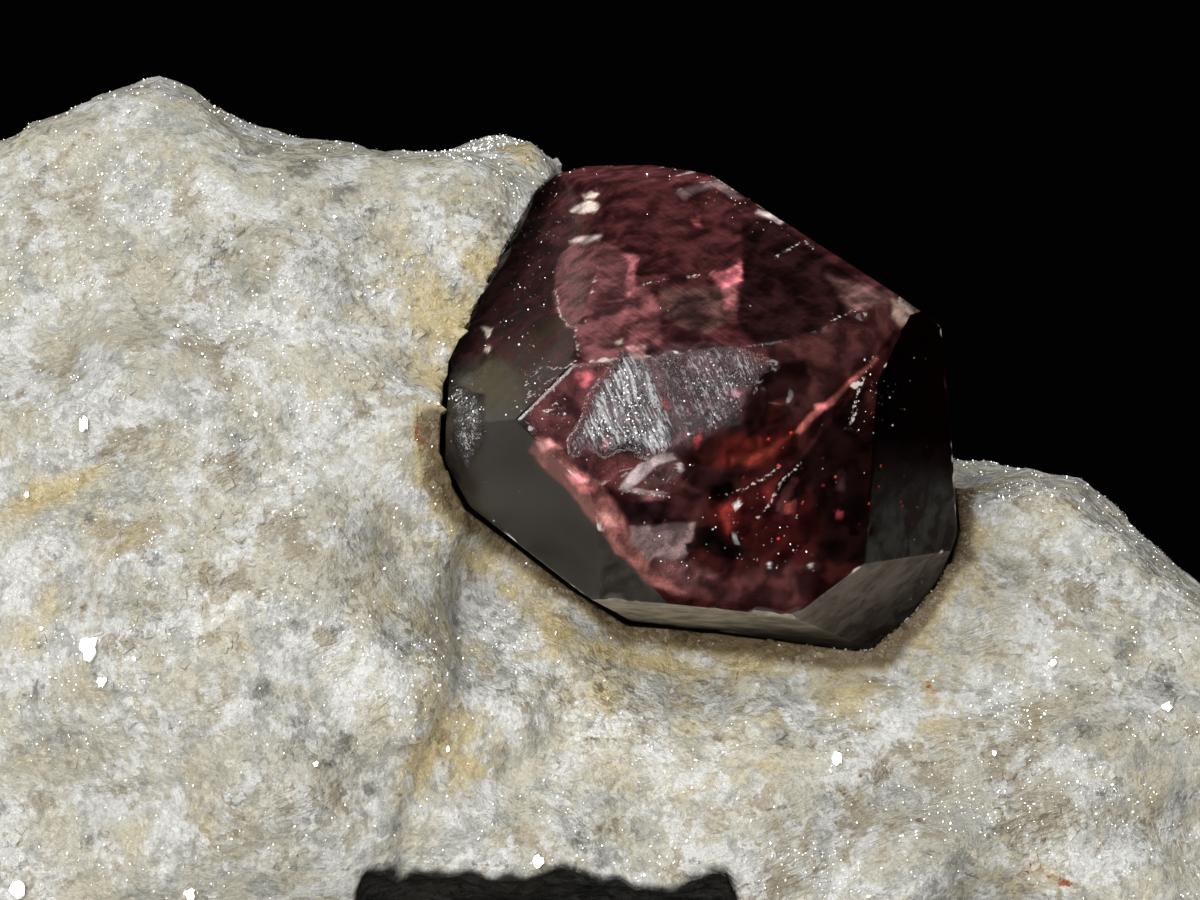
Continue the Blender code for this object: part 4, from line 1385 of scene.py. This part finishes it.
# Large bright mica plates on the front drawing: (right, up), width
MICA_GLINTS = (
    (-10.3, 0.5, 0.42), (-10.15, -4.0, 0.72), (-9.9, -4.62, 0.28), (4.75, -6.25, 0.38),
    (-11.6, -8.8, 0.5), (-8.2, -8.8, 0.32), (-1.2, -8.24, 0.34), (-3.1, -6.0, 0.16), (9.1, -4.3, 0.2),
    (11.3, -5.2, 0.26), (-9.3, -4.2, 0.14), (1.4, -4.9, 0.14), (-11.4, -0.9, 0.16), (7.9, -6.1, 0.14),
    (-6.9, 0.7, 0.12),
)
GLINT_LIGHT = Vector((-0.346, -0.476, 0.809))


class MICA_OT_build(bpy.types.Operator):
    """Scatters thin mica plates over the rock, most of them tiny, and a few large bright ones"""

    bl_idname = "mineral.mica"
    bl_label = "Mica"

    def execute(self, context):
        looks = context.scene.mineral_mica
        skin = bpy.data.objects["rock_skin"]
        finish = bright_material("silvery mica")

        def keep(middles):
            rich = patches(middles, *MICA_PATCHES) + MICA_ELSEWHERE
            right = smooth_step((middles[:, 0] - MICA_RIGHT_FROM) / MICA_RIGHT_FADE)
            return off_crystal(middles) * rich * (1.0 + MICA_RIGHT * right)

        spots, normals, random = surface_samples(skin.data, looks.count, MICA_SEED, keep)
        normals = glinting(spots, normals, random, looks.bright, 0.3, 0.05, looks.lean)
        widths = varied(random, looks.size, MICA_VARIETY, looks.count)
        spots = spots + normals * MICA_STANDING
        add_plates("mica_small", "rock", finish, spots, normals, widths, 5, 0.4, MICA_SEED + 1)
        tree = BVHTree.FromObject(skin, context.evaluated_depsgraph_get())
        camera = camera_place()
        spots, normals, widths = [], [], []
        for u, v, width in MICA_GLINTS:
            hit, normal, _, _ = tree.ray_cast(camera, front_sight(u, v))
            if hit is None:
                raise RuntimeError(f"no rock under the mica plate at {u}, {v}")
            spots.append(np.array(hit + normal * GLINT_STANDING) / MM)
            mirror = (camera - hit).normalized() + GLINT_LIGHT.normalized()
            normals.append(np.array(mirror.normalized()))
            widths.append(width)
        large = (np.array(rows) for rows in (spots, normals, widths))
        add_plates("mica_large", "rock", finish, *large, 13, 0.5, MICA_SEED + 2)
        return {"FINISHED"}


# Faces of the crystal: colour of the veil under the skin, and its share. On some faces this is
# painted light and shade instead: darker on the right and upper left faces, where they would
# mirror lit rock, and lighter on the lower right face and the underside.
FACE_VEILS_AND_PAINTED_LIGHT = {
    "upper": ((0.105, 0.029, 0.031), 0.50),
    "upper_left": ((0.05, 0.020, 0.019), 0.75),
    "centre": ((0.13, 0.040, 0.042), 0.45),
    "band": ((0.055, 0.014, 0.013), 0.55),
    "lower_front": ((0.058, 0.012, 0.011), 0.48),
    "lower_left": ((0.080, 0.068, 0.055), 0.48),
    "left": ((0.055, 0.046, 0.038), 0.32),
    "lower_right": ((0.20, 0.170, 0.150), 0.62),
    "underside": ((0.46, 0.41, 0.33), 0.60),
    "right": ((0.004, 0.001, 0.001), 0.35),
    "corner": ((0.24, 0.14, 0.11), 0.45),
    "top": ((0.13, 0.04, 0.04), 0.45),
}
OTHER_VEIL = ((0.10, 0.022, 0.022), 0.42)
# painted shade: a dark layer on the faces that lie against the rock, which shades them
SEATED_PAINTED_SHADE = ((0.02, 0.012, 0.009), 0.85)  # on the faces that lie against the rock
SEATED_FACES = ("rim_bottom", "rim_low_left", "rim_bottom_left", "rim_left_low", "rim_left", "rim_low_right")
# Broken planes in the crystal, and painted glow, highlights, reflections and shade seen in it, on
# the front drawing, later ones over earlier ones: soft edge in mm, colour, share, corners in
# hundredths of a mm
INNER_PLANES_AND_PAINTED_LIGHT = (
    # painted shade: the dark side at the upper left
    (0.1, (0.032, 0.01, 0.011), 0.85, (
        (-92, 573), (-120, 540), (-187, 360), (-240, 240), (-300, 173), (-313, 120), (-187, 133),
        (-120, 173), (-87, 213), (-90, 293), (-92, 333), (-83, 383), (-53, 410), (-73, 507), (-80, 553),
    )),
    # the grey end of the left side
    (0.18, (0.044, 0.034, 0.032), 0.3, (
        (-310, 160), (-270, 175), (-215, 190), (-170, 160), (-150, 110), (-140, 40), (-140, -10),
        (-120, -60), (-290, -60), (-310, 30),
    )),
    # its pale rim, a painted reflection
    (0.015, (0.42, 0.39, 0.35), 0.7, (
        (-98, 581), (-105, 581), (-165, 465), (-215, 360), (-245, 305), (-238, 300), (-195, 370),
        (-155, 455),
    )),
    # the dark plane at the upper right
    (0.06, (0.042, 0.014, 0.014), 0.38, (
        (280, 470), (367, 453), (413, 413), (493, 353), (587, 307), (507, 273), (393, 213), (320, 207),
        (277, 240), (273, 280), (283, 333),
    )),
    # wine red above
    (0.15, (0.105, 0.029, 0.031), 0.5, (
        (-87, 573), (260, 520), (280, 467), (280, 373), (73, 380), (-53, 410), (-120, 420),
    )),
    (0.1, (0.25, 0.07, 0.075), 0.5, (
        (-93, 580), (33, 583), (127, 567), (233, 547), (220, 533), (87, 540), (-73, 540),
    )),
    (0.1, (0.33, 0.16, 0.15), 0.5, ((453, 353), (587, 309), (570, 290), (500, 277), (477, 320))),
    # the pink plane with its bright rim, a painted highlight
    (0.04, (0.22, 0.08, 0.085), 0.6, (
        (-92, 333), (-83, 383), (-53, 410), (7, 417), (60, 395), (75, 379), (65, 327), (97, 320),
        (120, 287), (121, 207), (33, 173), (-39, 180), (-47, 227), (-73, 253), (-90, 293),
    )),
    (0.1, (0.28, 0.095, 0.1), 0.62, (
        (63, 320), (97, 320), (120, 283), (120, 207), (60, 207), (33, 267),
    )),
    (0.04, (0.58, 0.19, 0.21), 0.7, (
        (43, 397), (60, 395), (77, 381), (67, 320), (57, 307), (50, 333), (60, 373),
    )),
    # below it, towards the left edge
    (0.1, (0.17, 0.055, 0.058), 0.5, (
        (-40, 180), (33, 173), (33, 133), (-20, 87), (-53, 23), (-127, 37), (-120, 107), (-73, 133),
    )),
    (0.08, (0.75, 0.18, 0.2), 0.7, ((-47, 153), (-20, 157), (-10, 143), (-27, 130), (-47, 137))),
    # the brown plane and the pink patch
    (0.06, (0.15, 0.07, 0.062), 0.52, (
        (120, 323), (260, 330), (272, 267), (220, 232), (167, 240), (127, 267),
    )),
    (0.05, (1, 0.28, 0.32), 0.8, (
        (219, 361), (241, 359), (280, 373), (285, 337), (253, 327), (231, 337),
    )),
    (0.06, (0.5, 0.17, 0.18), 0.6, ((247, 327), (273, 330), (273, 280), (253, 280))),
    (0.05, (0.8, 0.2, 0.2), 0.65, ((187, 463), (201, 463), (203, 447), (190, 447))),
    (0.05, (0.5, 0.3, 0.3), 0.55, (
        (153, 517), (233, 540), (263, 520), (283, 503), (260, 503), (227, 523), (167, 507),
    )),
    (0.04, (0.75, 0.6, 0.58), 0.7, ((317, 483), (367, 460), (360, 452), (313, 473))),
    # the band under the bright edge
    (0.15, (0.085, 0.029, 0.027), 0.55, (
        (333, 193), (493, 267), (580, 293), (600, 240), (520, 180), (433, 87), (373, 53), (367, 133),
    )),
    (0.05, (0.02, 0.006, 0.006), 0.6, ((590, 240), (627, 240), (620, 213), (580, 207), (547, 187))),
    (0.06, (0.38, 0.25, 0.2), 0.6, ((587, 307), (660, 253), (620, 233), (580, 267))),
    # the painted orange glow
    (0.15, (0.2, 0.03, 0.022), 0.5, (
        (287, 107), (333, 180), (373, 160), (367, 107), (327, 53), (293, 60),
    )),
    (0.06, (0.34, 0.05, 0.03), 0.6, ((300, 93), (333, 93), (327, 73), (303, 70))),
    (0.12, (0.17, 0.021, 0.016), 0.55, (
        (247, 7), (300, 40), (333, 27), (380, 40), (367, 0), (320, -33), (260, -40), (227, -27),
    )),
    (0.06, (0.42, 0.065, 0.042), 0.6, (
        (260, -17), (300, -10), (367, 23), (387, 37), (333, -17), (300, -33), (260, -33),
    )),
    (0.04, (0.55, 0.15, 0.13), 0.6, (
        (387, 37), (440, 87), (500, 140), (547, 187), (553, 180), (460, 87), (400, 30),
    )),
    (0.04, (1, 0.3, 0.3), 0.75, ((430, 90), (450, 93), (450, 79), (433, 77))),
    # dark clefts under it
    (0.12, (0.05, 0.012, 0.012), 0.45, (
        (400, 27), (460, 80), (553, 173), (607, 213), (660, 160), (620, 133), (527, 67), (447, 0),
        (380, -67),
    )),
    (0.08, (0.25, 0.07, 0.06), 0.5, (
        (387, -27), (447, 40), (527, 133), (540, 107), (480, 40), (407, -53),
    )),
    (0.15, (0.03, 0.004, 0.004), 0.4, (
        (413, -53), (527, 67), (593, 133), (607, -27), (593, -220), (493, -227), (427, -160),
    )),
    # the red depth at the bottom
    (0.2, (0.062, 0.009, 0.009), 0.55, (
        (213, -53), (413, -47), (447, -93), (413, -227), (260, -220), (213, -160),
    )),
    (0.1, (0.42, 0.05, 0.04), 0.55, ((240, -113), (280, -100), (277, -147), (253, -167))),
    (0.1, (0.32, 0.045, 0.036), 0.5, ((327, -80), (367, -53), (373, -87), (333, -113))),
    (0.05, (0.02, 0.005, 0.005), 0.6, (
        (300, -140), (333, -120), (400, -53), (447, 40), (453, 27), (407, -67), (340, -140),
    )),
    (0.08, (0.03, 0.01, 0.01), 0.6, ((240, -200), (280, -180), (313, -213), (260, -220))),
    # between the silvery face and the feather
    (0.12, (0.15, 0.045, 0.045), 0.5, (
        (-53, 13), (33, -27), (127, -20), (213, -47), (293, -40), (227, -87), (53, -93), (-20, -53),
    )),
    (0.04, (0.15, 0.075, 0.075), 0.6, (
        (150, -10), (170, -35), (182, -48), (155, -60), (120, -70), (85, -75), (100, -45), (130, -25),
    )),
    (0.03, (0.6, 0.48, 0.48), 0.7, (
        (35, -75), (55, -45), (80, -23), (120, -10), (147, -6), (153, -20), (120, -27), (95, -45),
        (75, -68), (55, -85),
    )),
    (0.025, (0.52, 0.4, 0.4), 0.65, ((55, -85), (75, -75), (140, -86), (135, -98), (85, -89))),
    (0.02, (0.7, 0.6, 0.6), 0.7, ((155, -30), (165, -27), (170, -45), (160, -48))),
    (0.1, (0.1, 0.03, 0.03), 0.5, ((53, -87), (213, -87), (207, -140), (127, -140), (60, -147))),
    (0.06, (0.35, 0.14, 0.14), 0.5, ((87, -80), (127, -93), (120, -127), (87, -127))),
    # clear facets at the bottom
    (0.05, (0.38, 0.245, 0.24), 0.55, (
        (60, -153), (120, -147), (193, -147), (187, -187), (168, -220), (87, -227), (53, -200),
    )),
    (0.12, (0.25, 0.1, 0.1), 0.5, (
        (60, -220), (167, -220), (233, -253), (220, -293), (167, -283), (100, -233),
    )),
    (0.03, (0.02, 0.01, 0.01), 0.8, ((170, -187), (190, -183), (193, -203), (175, -207))),
    (0.15, (0.16, 0.05, 0.05), 0.45, ((167, -287), (327, -227), (433, -233), (407, -307), (260, -307))),
    # dark hollows
    (0.1, (0.014, 0.004, 0.004), 0.75, (
        (290, 125), (320, 160), (370, 180), (420, 185), (425, 140), (400, 110), (350, 90), (320, 30),
        (290, 20), (280, 75),
    )),
    (0.08, (0.022, 0.007, 0.007), 0.7, (
        (170, -30), (240, -40), (290, -50), (280, -80), (240, -100), (190, -80), (160, -60),
    )),
    (0.06, (0.008, 0.003, 0.003), 0.8, (
        (190, -160), (220, -150), (250, -185), (300, -200), (270, -220), (220, -210), (195, -190),
    )),
    (0.12, (0.01, 0.003, 0.003), 0.8, (
        (345, -80), (395, -10), (450, 50), (510, 125), (540, 135), (540, -230), (420, -230),
        (445, -160), (420, -80), (370, -140), (340, -120),
    )),
    (0.06, (0.03, 0.011, 0.012), 0.6, ((40, -100), (140, -100), (140, -140), (70, -155), (40, -130))),
    (0.05, (0.006, 0.002, 0.002), 0.8, ((220, -70), (260, -60), (270, -80), (240, -105), (220, -100))),
    # painted lights in them
    (0.03, (0.1, 0.03, 0.03), 0.6, ((350, -110), (390, -55), (400, -60), (370, -110), (360, -130))),
    (0.04, (0.3, 0.06, 0.05), 0.6, ((370, -105), (390, -100), (385, -125), (365, -125))),
    (0.07, (0.16, 0.02, 0.018), 0.6, ((250, -125), (280, -120), (280, -155), (255, -160))),
    (0.03, (0.55, 0.08, 0.1), 0.7, ((470, -120), (483, -120), (480, -135), (473, -135))),
    (0.05, (0.06, 0.03, 0.03), 0.6, ((470, -45), (485, -40), (485, -80), (473, -80))),
    # the pink band along the lower left edge
    (0.06, (0.36, 0.135, 0.12), 0.62, (
        (-143, -1), (-128, 28), (-92, 13), (-47, -27), (7, -80), (48, -133), (61, -187), (101, -230),
        (170, -283), (150, -288), (87, -260), (33, -200), (-53, -97),
    )),
    (0.05, (1, 0.45, 0.42), 0.75, ((-130, 17), (-103, 23), (-93, 7), (-120, -3))),
    (0.05, (1, 0.33, 0.35), 0.85, ((-67, -50), (-40, -47), (-23, -63), (-53, -70))),
    (0.05, (1, 0.3, 0.29), 0.75, ((-47, -70), (-7, -77), (-7, -90), (-40, -87))),
    (0.05, (0.7, 0.32, 0.28), 0.6, ((-7, -120), (20, -127), (33, -153), (13, -153))),
    # the dark ground of the silvery face
    (0.16, (0.1, 0.05, 0.055), 0.65, (
        (-50, 15), (-20, 80), (15, 145), (45, 190), (135, 210), (240, 210), (300, 185), (340, 165),
        (305, 140), (290, 110), (280, 50), (230, 35), (200, 15), (165, -10), (120, -10), (35, 5),
        (10, -5), (-50, -5),
    )),
    # red spots in the silvery face
    (0.05, (0.95, 0.45, 0.42), 0.6, ((53, 207), (93, 213), (87, 180), (60, 180))),
    (0.04, (0.8, 0.15, 0.15), 0.7, ((127, 107), (140, 100), (137, 83), (127, 90))),
    (0.04, (0.7, 0.15, 0.18), 0.7, ((10, 27), (23, 23), (17, 0), (8, 7))),
    (0.04, (0.7, 0.18, 0.25), 0.6, ((263, 117), (283, 113), (280, 107), (263, 110))),
    (0.04, (0.7, 0.08, 0.1), 0.6, ((187, 20), (203, 37), (201, 20), (190, -3))),
    # the lower right face
    (0.05, (0.16, 0.07, 0.05), 0.6, ((537, -360), (580, -347), (577, -387), (547, -390))),
    (0.08, (0.3, 0.26, 0.2), 0.6, ((673, -220), (687, -227), (607, -380), (560, -400), (620, -353))),
    # cream chips
    (0.03, (0.8, 0.66, 0.58), 0.95, (
        (-57, 480), (-47, 492), (-27, 497), (1, 489), (-10, 478), (-33, 475),
    )),
    (0.03, (0.75, 0.6, 0.52), 0.9, ((-37, 509), (-20, 515), (-3, 507), (-13, 500), (-32, 501))),
    (0.03, (0.7, 0.55, 0.5), 0.8, ((-61, 415), (-47, 425), (7, 430), (-3, 419), (-40, 410))),
    (0.03, (0.8, 0.66, 0.5), 0.95, ((28, 219), (43, 224), (47, 216), (35, 210))),
    (0.03, (0.75, 0.66, 0.56), 0.9, ((-235, 245), (-220, 243), (-218, 227), (-225, 225))),
    (0.03, (0.75, 0.66, 0.56), 0.8, ((-232, 203), (-221, 207), (-223, 197))),
    (0.03, (0.7, 0.6, 0.55), 0.8, ((-93, 577), (-13, 581), (-13, 576), (-87, 571))),
    (0.03, (0.9, 0.88, 0.88), 0.9, ((263, -112), (275, -101), (283, -113), (270, -120))),
    (0.03, (0.9, 0.88, 0.88), 0.9, ((335, -222), (343, -221), (341, -235), (335, -233))),
    (0.03, (0.8, 0.75, 0.75), 0.8, ((412, -227), (423, -225), (419, -237))),
    (0.03, (0.75, 0.7, 0.7), 0.7, ((263, -167), (272, -170), (279, -190), (270, -187))),
)
# Areas with white flecks: how many, corners in hundredths of a mm
FLECKED_AREAS = (
    (0.4, (
        (-120, 560), (-60, 573), (-53, 420), (-93, 340), (-120, 173), (-187, 207), (-207, 267),
        (-167, 373),
    )),
    (1.1, ((-160, 180), (-73, 147), (-53, 67), (-113, 40), (-160, 93))),
    (1.4, ((-300, 133), (-240, 113), (-233, 13), (-267, -33), (-293, 20))),
    (0.7, ((520, 187), (607, 133), (567, 40), (493, 40))),
    (1.0, ((37, -68), (60, -43), (100, -27), (155, -21), (188, -41), (157, -68), (137, -97))),
    (0.5, ((227, -93), (427, -93), (427, -240), (227, -240))),
    (0.7, ((127, 567), (367, 467), (367, 440), (140, 507))),
    (0.6, ((60, -147), (193, -147), (187, -280), (87, -227))),
)
# Areas with etching and its painted silvery sheen: how strong it is, corners
ETCHED_AREAS = (
    (1.35, (
        (-50, 15), (-30, 50), (-20, 80), (-15, 95), (20, 145), (45, 190), (80, 185), (95, 160),
        (115, 120), (130, 80), (145, 40), (135, 5), (120, -10), (85, 0), (60, 15), (35, 5), (10, -5),
        (-20, 20), (-50, -5),
    )),
    (0.66, (
        (180, 190), (220, 200), (260, 200), (300, 185), (330, 165), (305, 140), (285, 110), (275, 60),
        (240, 45), (210, 30), (190, 75), (170, 120), (155, 160),
    )),
    (0.45, (
        (115, 175), (140, 200), (155, 160), (170, 120), (190, 75), (200, 20), (170, 15), (145, 70),
        (125, 120),
    )),
    (0.7, ((-293, 120), (-240, 107), (-240, 20), (-267, -27), (-290, 27))),
)
# Areas with small red glints: how strong they are, corners
SPARKED_AREAS = (
    (1.0, ((327, 40), (593, 107), (607, -160), (427, -227), (247, -193), (260, -60))),
    (0.6, ((-140, 40), (167, -160), (153, -287), (33, -200))),
    (0.8, ((33, 213), (167, 213), (167, 13), (33, 0))),
)
ETCHED_SOFT = 0.16
# Cracks, as lines of the front drawing in hundredths of a mm
CRACKS = (
    ((-87, 320), (-77, 267), (-53, 240), (-40, 200), (-47, 180), (-73, 163), (-120, 165)),
    ((-120, 165), (-147, 130), (-140, 107)),
    ((87, 330), (140, 343), (200, 352)),
    ((540, 187), (510, 87), (497, 40)),
    ((520, 133), (507, 53)),
    ((353, 387), (373, 405), (413, 415), (427, 403)),
    ((460, 259), (487, 275), (517, 281)),
    ((153, 517), (193, 530), (235, 539), (267, 513)),
    ((313, -140), (367, -67), (397, -27)),
    ((43, -83), (87, -83), (137, -95)),
    ((233, -90), (293, -80), (360, -33)),
    ((-60, 417), (7, 428)),
)


def painted(areas, u, v, front, soft=0.25):
    """The strongest of the areas at each point of the front faces."""
    parts = [strength * inside_polygon(u, v, corners, soft) for strength, corners in areas]
    return np.max(parts, axis=0) * front


def crystal_marks(points, owner):
    """Attributes of the crystal's skin: its marks, and inner (colour and share), which holds
    painted light and shade as well as veils.
    """
    on = {face[0]: owner == number for number, face in enumerate(CRYSTAL_FACES)}
    front = owner < FRONT_FACES
    u, v = bent_drawing(points, CRYSTAL_CENTRE, *MARK_BEND)
    frost = np.zeros(len(points))
    for name, value in FROSTED_FACES.items():
        frost[on[name]] = value
    inner = np.empty((len(points), 4))
    inner[:] = (*OTHER_VEIL[0], OTHER_VEIL[1])
    for name, (colour, share) in (FACE_VEILS_AND_PAINTED_LIGHT | dict.fromkeys(SEATED_FACES, SEATED_PAINTED_SHADE)).items():
        inner[on[name]] = (*colour, share)
    painted_faces = front & ~on["right"] & ~on["underside"]
    for soft, colour, share, corners in INNER_PLANES_AND_PAINTED_LIGHT:
        part = inside_polygon(u, v, corners, soft) * painted_faces
        inner += part[:, None] * (np.array((*colour, share)) - inner)
    shade = on["right"] * smooth_step((RIGHT_SHADE_TOP - v) / RIGHT_SHADE_FADE)
    inner[:, 3] = np.maximum(inner[:, 3], RIGHT_SHADE * shade)
    room = np.sort(crystal_room(points), axis=1)[:, 1]
    chipped = np.maximum(0.0, 1.0 - room / CHIP_REACH) * patches(points, *CHIPPED_PATCHES)
    return {
        "frost": frost,
        "etch": painted(ETCHED_AREAS, u, v, front, ETCHED_SOFT),
        "flecks": painted(FLECKED_AREAS, u, v, front),
        "sparks": painted(SPARKED_AREAS, u, v, front),
        "crack": np.where(front, lines_distance(u, v, CRACKS), 1.0),
        "chipped": chipped,
    }, inner


class GARNET_OT_build(bpy.types.Operator):
    """Builds the garnet crystal with worn edges and face by face finish"""

    bl_idname = "mineral.garnet"
    bl_label = "Garnet"

    def execute(self, context):
        points, faces, owner = crystal_skin()
        marks, inner = crystal_marks(points, owner)
        mesh = mesh_of("garnet_crystal", points + CRYSTAL_CENTRE - BASE_CENTRE, faces)
        for name, values in marks.items():
            set_attribute(mesh, name, values)
        layer = mesh.attributes.new("inner", "FLOAT_COLOR", "POINT")
        layer.data.foreach_set("color", inner.astype(np.float32).ravel())
        body = bmesh.new()
        body.from_mesh(mesh)
        bmesh.ops.remove_doubles(body, verts=body.verts[:], dist=JOINED_WITHIN * MM)
        body.to_mesh(mesh)
        body.free()
        crystal = add_object("garnet_crystal", mesh, garnet_material(context.scene.mineral_garnet))
        finish_piece(crystal, "garnet", "garnet")
        return {"FINISHED"}


class FLECKS_OT_build(bpy.types.Operator):
    """Scatters tiny bright scales over the garnet's etched and flecked places"""

    bl_idname = "mineral.flecks"
    bl_label = "Garnet flecks"

    def execute(self, context):
        looks = context.scene.mineral_flecks
        crystal = bpy.data.objects["garnet_crystal"]
        finish = bright_material("white flecks")

        def keep(middles):
            drawn = front_drawing(middles + BASE_CENTRE)
            room = crystal_room(middles + BASE_CENTRE - CRYSTAL_CENTRE)
            front = room.argmin(axis=1) < FRONT_FACES
            etched = painted(ETCHED_AREAS, *drawn, front)
            flecked = painted(FLECKED_AREAS, *drawn, front)
            return looks.etched * etched**2 + flecked + looks.plain * front

        spots, normals, random = surface_samples(crystal.data, looks.count, FLECK_SEED, keep)
        facing = glinting(spots, normals, random, looks.bright, 0.5, 0.06, 0.5)
        widths = varied(random, looks.size, FLECK_VARIETY, looks.count)
        spots = spots + normals * FLECK_STANDING
        add_plates("garnet_flecks", "garnet", finish, spots, facing, widths, 5, 0.5, FLECK_SEED + 1)
        return {"FINISHED"}


# ---------------------------------------------------------------- the stage


# Name, turn and lift in degrees, the setting and the share of it that gives the power, two sizes
LIGHTS = (
    ("key", -36, 54, "key_power", 1.0, 0.22, 0.20),
    ("left", -68, 34, "fill_power", 0.45, 0.4, 0.4),
    ("front", -12, 12, "fill_power", 3.0, 0.5, 0.3),
    ("right", 72, 46, "fill_power", 0.6, 0.3, 0.3),
    ("rear", 120, 48, "fill_power", 0.7, 0.3, 0.3),
)
LIGHT_DISTANCE = 0.6
LIGHT_AIM = (0.0, 0.0, 0.008)
LIGHTS_ROUND_HEIGHT = 0.009
FLOOR_THICKNESS = 0.002
FLOOR_GAP = 0.00002
NEAREST_SEEN = 0.01


def add_light(name, place, power, width, height):
    """A soft rectangular light that shines on the specimen."""
    light = bpy.data.lights.new(name, "AREA")
    light.shape = "RECTANGLE"
    light.size, light.size_y = width, height
    light.energy = power
    lamp = bpy.data.objects.new(name, light)
    lamp.location = place
    lamp.rotation_euler = (Vector(LIGHT_AIM) - Vector(place)).to_track_quat("-Z", "Y").to_euler()
    bpy.context.scene.collection.objects.link(lamp)


def around(turn, lift, distance):
    """A point round the specimen: turn from the front towards +X and lift, in degrees."""
    turn, lift = math.radians(turn), math.radians(lift)
    flat = distance * math.cos(lift)
    height = distance * math.sin(lift) + LIGHTS_ROUND_HEIGHT
    return (flat * math.sin(turn), -flat * math.cos(turn), height)


class STAGE_OT_build(bpy.types.Operator):
    """Sets up the floor, the lights and the camera"""

    bl_idname = "mineral.stage"
    bl_label = "Stage"

    def execute(self, context):
        looks = context.scene.mineral_stage
        radius = looks.floor_radius
        body = bmesh.new()
        bmesh.ops.create_cone(
            body, cap_ends=True, segments=128, radius1=radius, radius2=radius, depth=FLOOR_THICKNESS
        )
        drop = FLOOR_THICKNESS / 2.0 + FLOOR_GAP
        bmesh.ops.translate(body, vec=(0.0, 0.0, -drop), verts=body.verts[:])
        finish = plain_material("pale floor", looks.floor_colour, FLOOR_ROUGHNESS)
        floor = add_object("floor", mesh_from(body, "floor"), finish)
        floor.visible_glossy = False
        floor.visible_transmission = False
        for name, turn, lift, group, share, width, height in LIGHTS:
            power = getattr(looks, group) * share
            add_light(name, around(turn, lift, LIGHT_DISTANCE), power, width, height)
        world = bpy.data.worlds.new("backdrop")
        world.use_nodes = True
        world.node_tree.nodes["Background"].inputs["Color"].default_value = (*looks.backdrop, 1.0)
        context.scene.world = world
        lens = bpy.data.cameras.new("camera")
        lens.lens = VIEW_LENS
        lens.clip_start = NEAREST_SEEN
        camera = bpy.data.objects.new("camera", lens)
        camera.location = camera_place()
        camera.rotation_euler = (math.radians(90.0 - VIEW_ELEVATION), 0.0, 0.0)
        context.scene.collection.objects.link(camera)
        context.scene.camera = camera
        context.scene.view_settings.view_transform = "Standard"
        return {"FINISHED"}


class MINERAL_PT_panel(bpy.types.Panel):
    """Lists the specimen's settings and the buttons that build its pieces"""

    bl_label = "Garnet in Matrix"
    bl_space_type = "VIEW_3D"
    bl_region_type = "UI"
    bl_category = "Mineral"

    def draw(self, context):
        for group, operator in STEPS:
            box = self.layout.box()
            if group:
                settings = getattr(context.scene, group)
                for name in settings.__annotations__:
                    box.prop(settings, name)
            box.operator(operator)


STEPS = (
    ("mineral_rock", "mineral.rock"),
    ("mineral_grains", "mineral.grains"),
    ("mineral_mica", "mineral.mica"),
    ("mineral_garnet", "mineral.garnet"),
    ("mineral_flecks", "mineral.flecks"),
    ("mineral_stage", "mineral.stage"),
)
SETTINGS = {
    "mineral_rock": RockSettings,
    "mineral_grains": GrainSettings,
    "mineral_mica": MicaSettings,
    "mineral_garnet": GarnetSettings,
    "mineral_flecks": FleckSettings,
    "mineral_stage": StageSettings,
}
CLASSES = (
    *SETTINGS.values(),
    ROCK_OT_build,
    GRAINS_OT_build,
    MICA_OT_build,
    GARNET_OT_build,
    FLECKS_OT_build,
    STAGE_OT_build,
    MINERAL_PT_panel,
)


def register():
    for part in CLASSES:
        bpy.utils.register_class(part)
    for name, group in SETTINGS.items():
        setattr(bpy.types.Scene, name, PointerProperty(type=group))


def unregister():
    for name in SETTINGS:
        delattr(bpy.types.Scene, name)
    for part in reversed(CLASSES):
        bpy.utils.unregister_class(part)


def main():
    register()
    for _, operator in STEPS:
        group, name = operator.split(".")
        getattr(getattr(bpy.ops, group), name)()


if __name__ == "__main__":
    main()
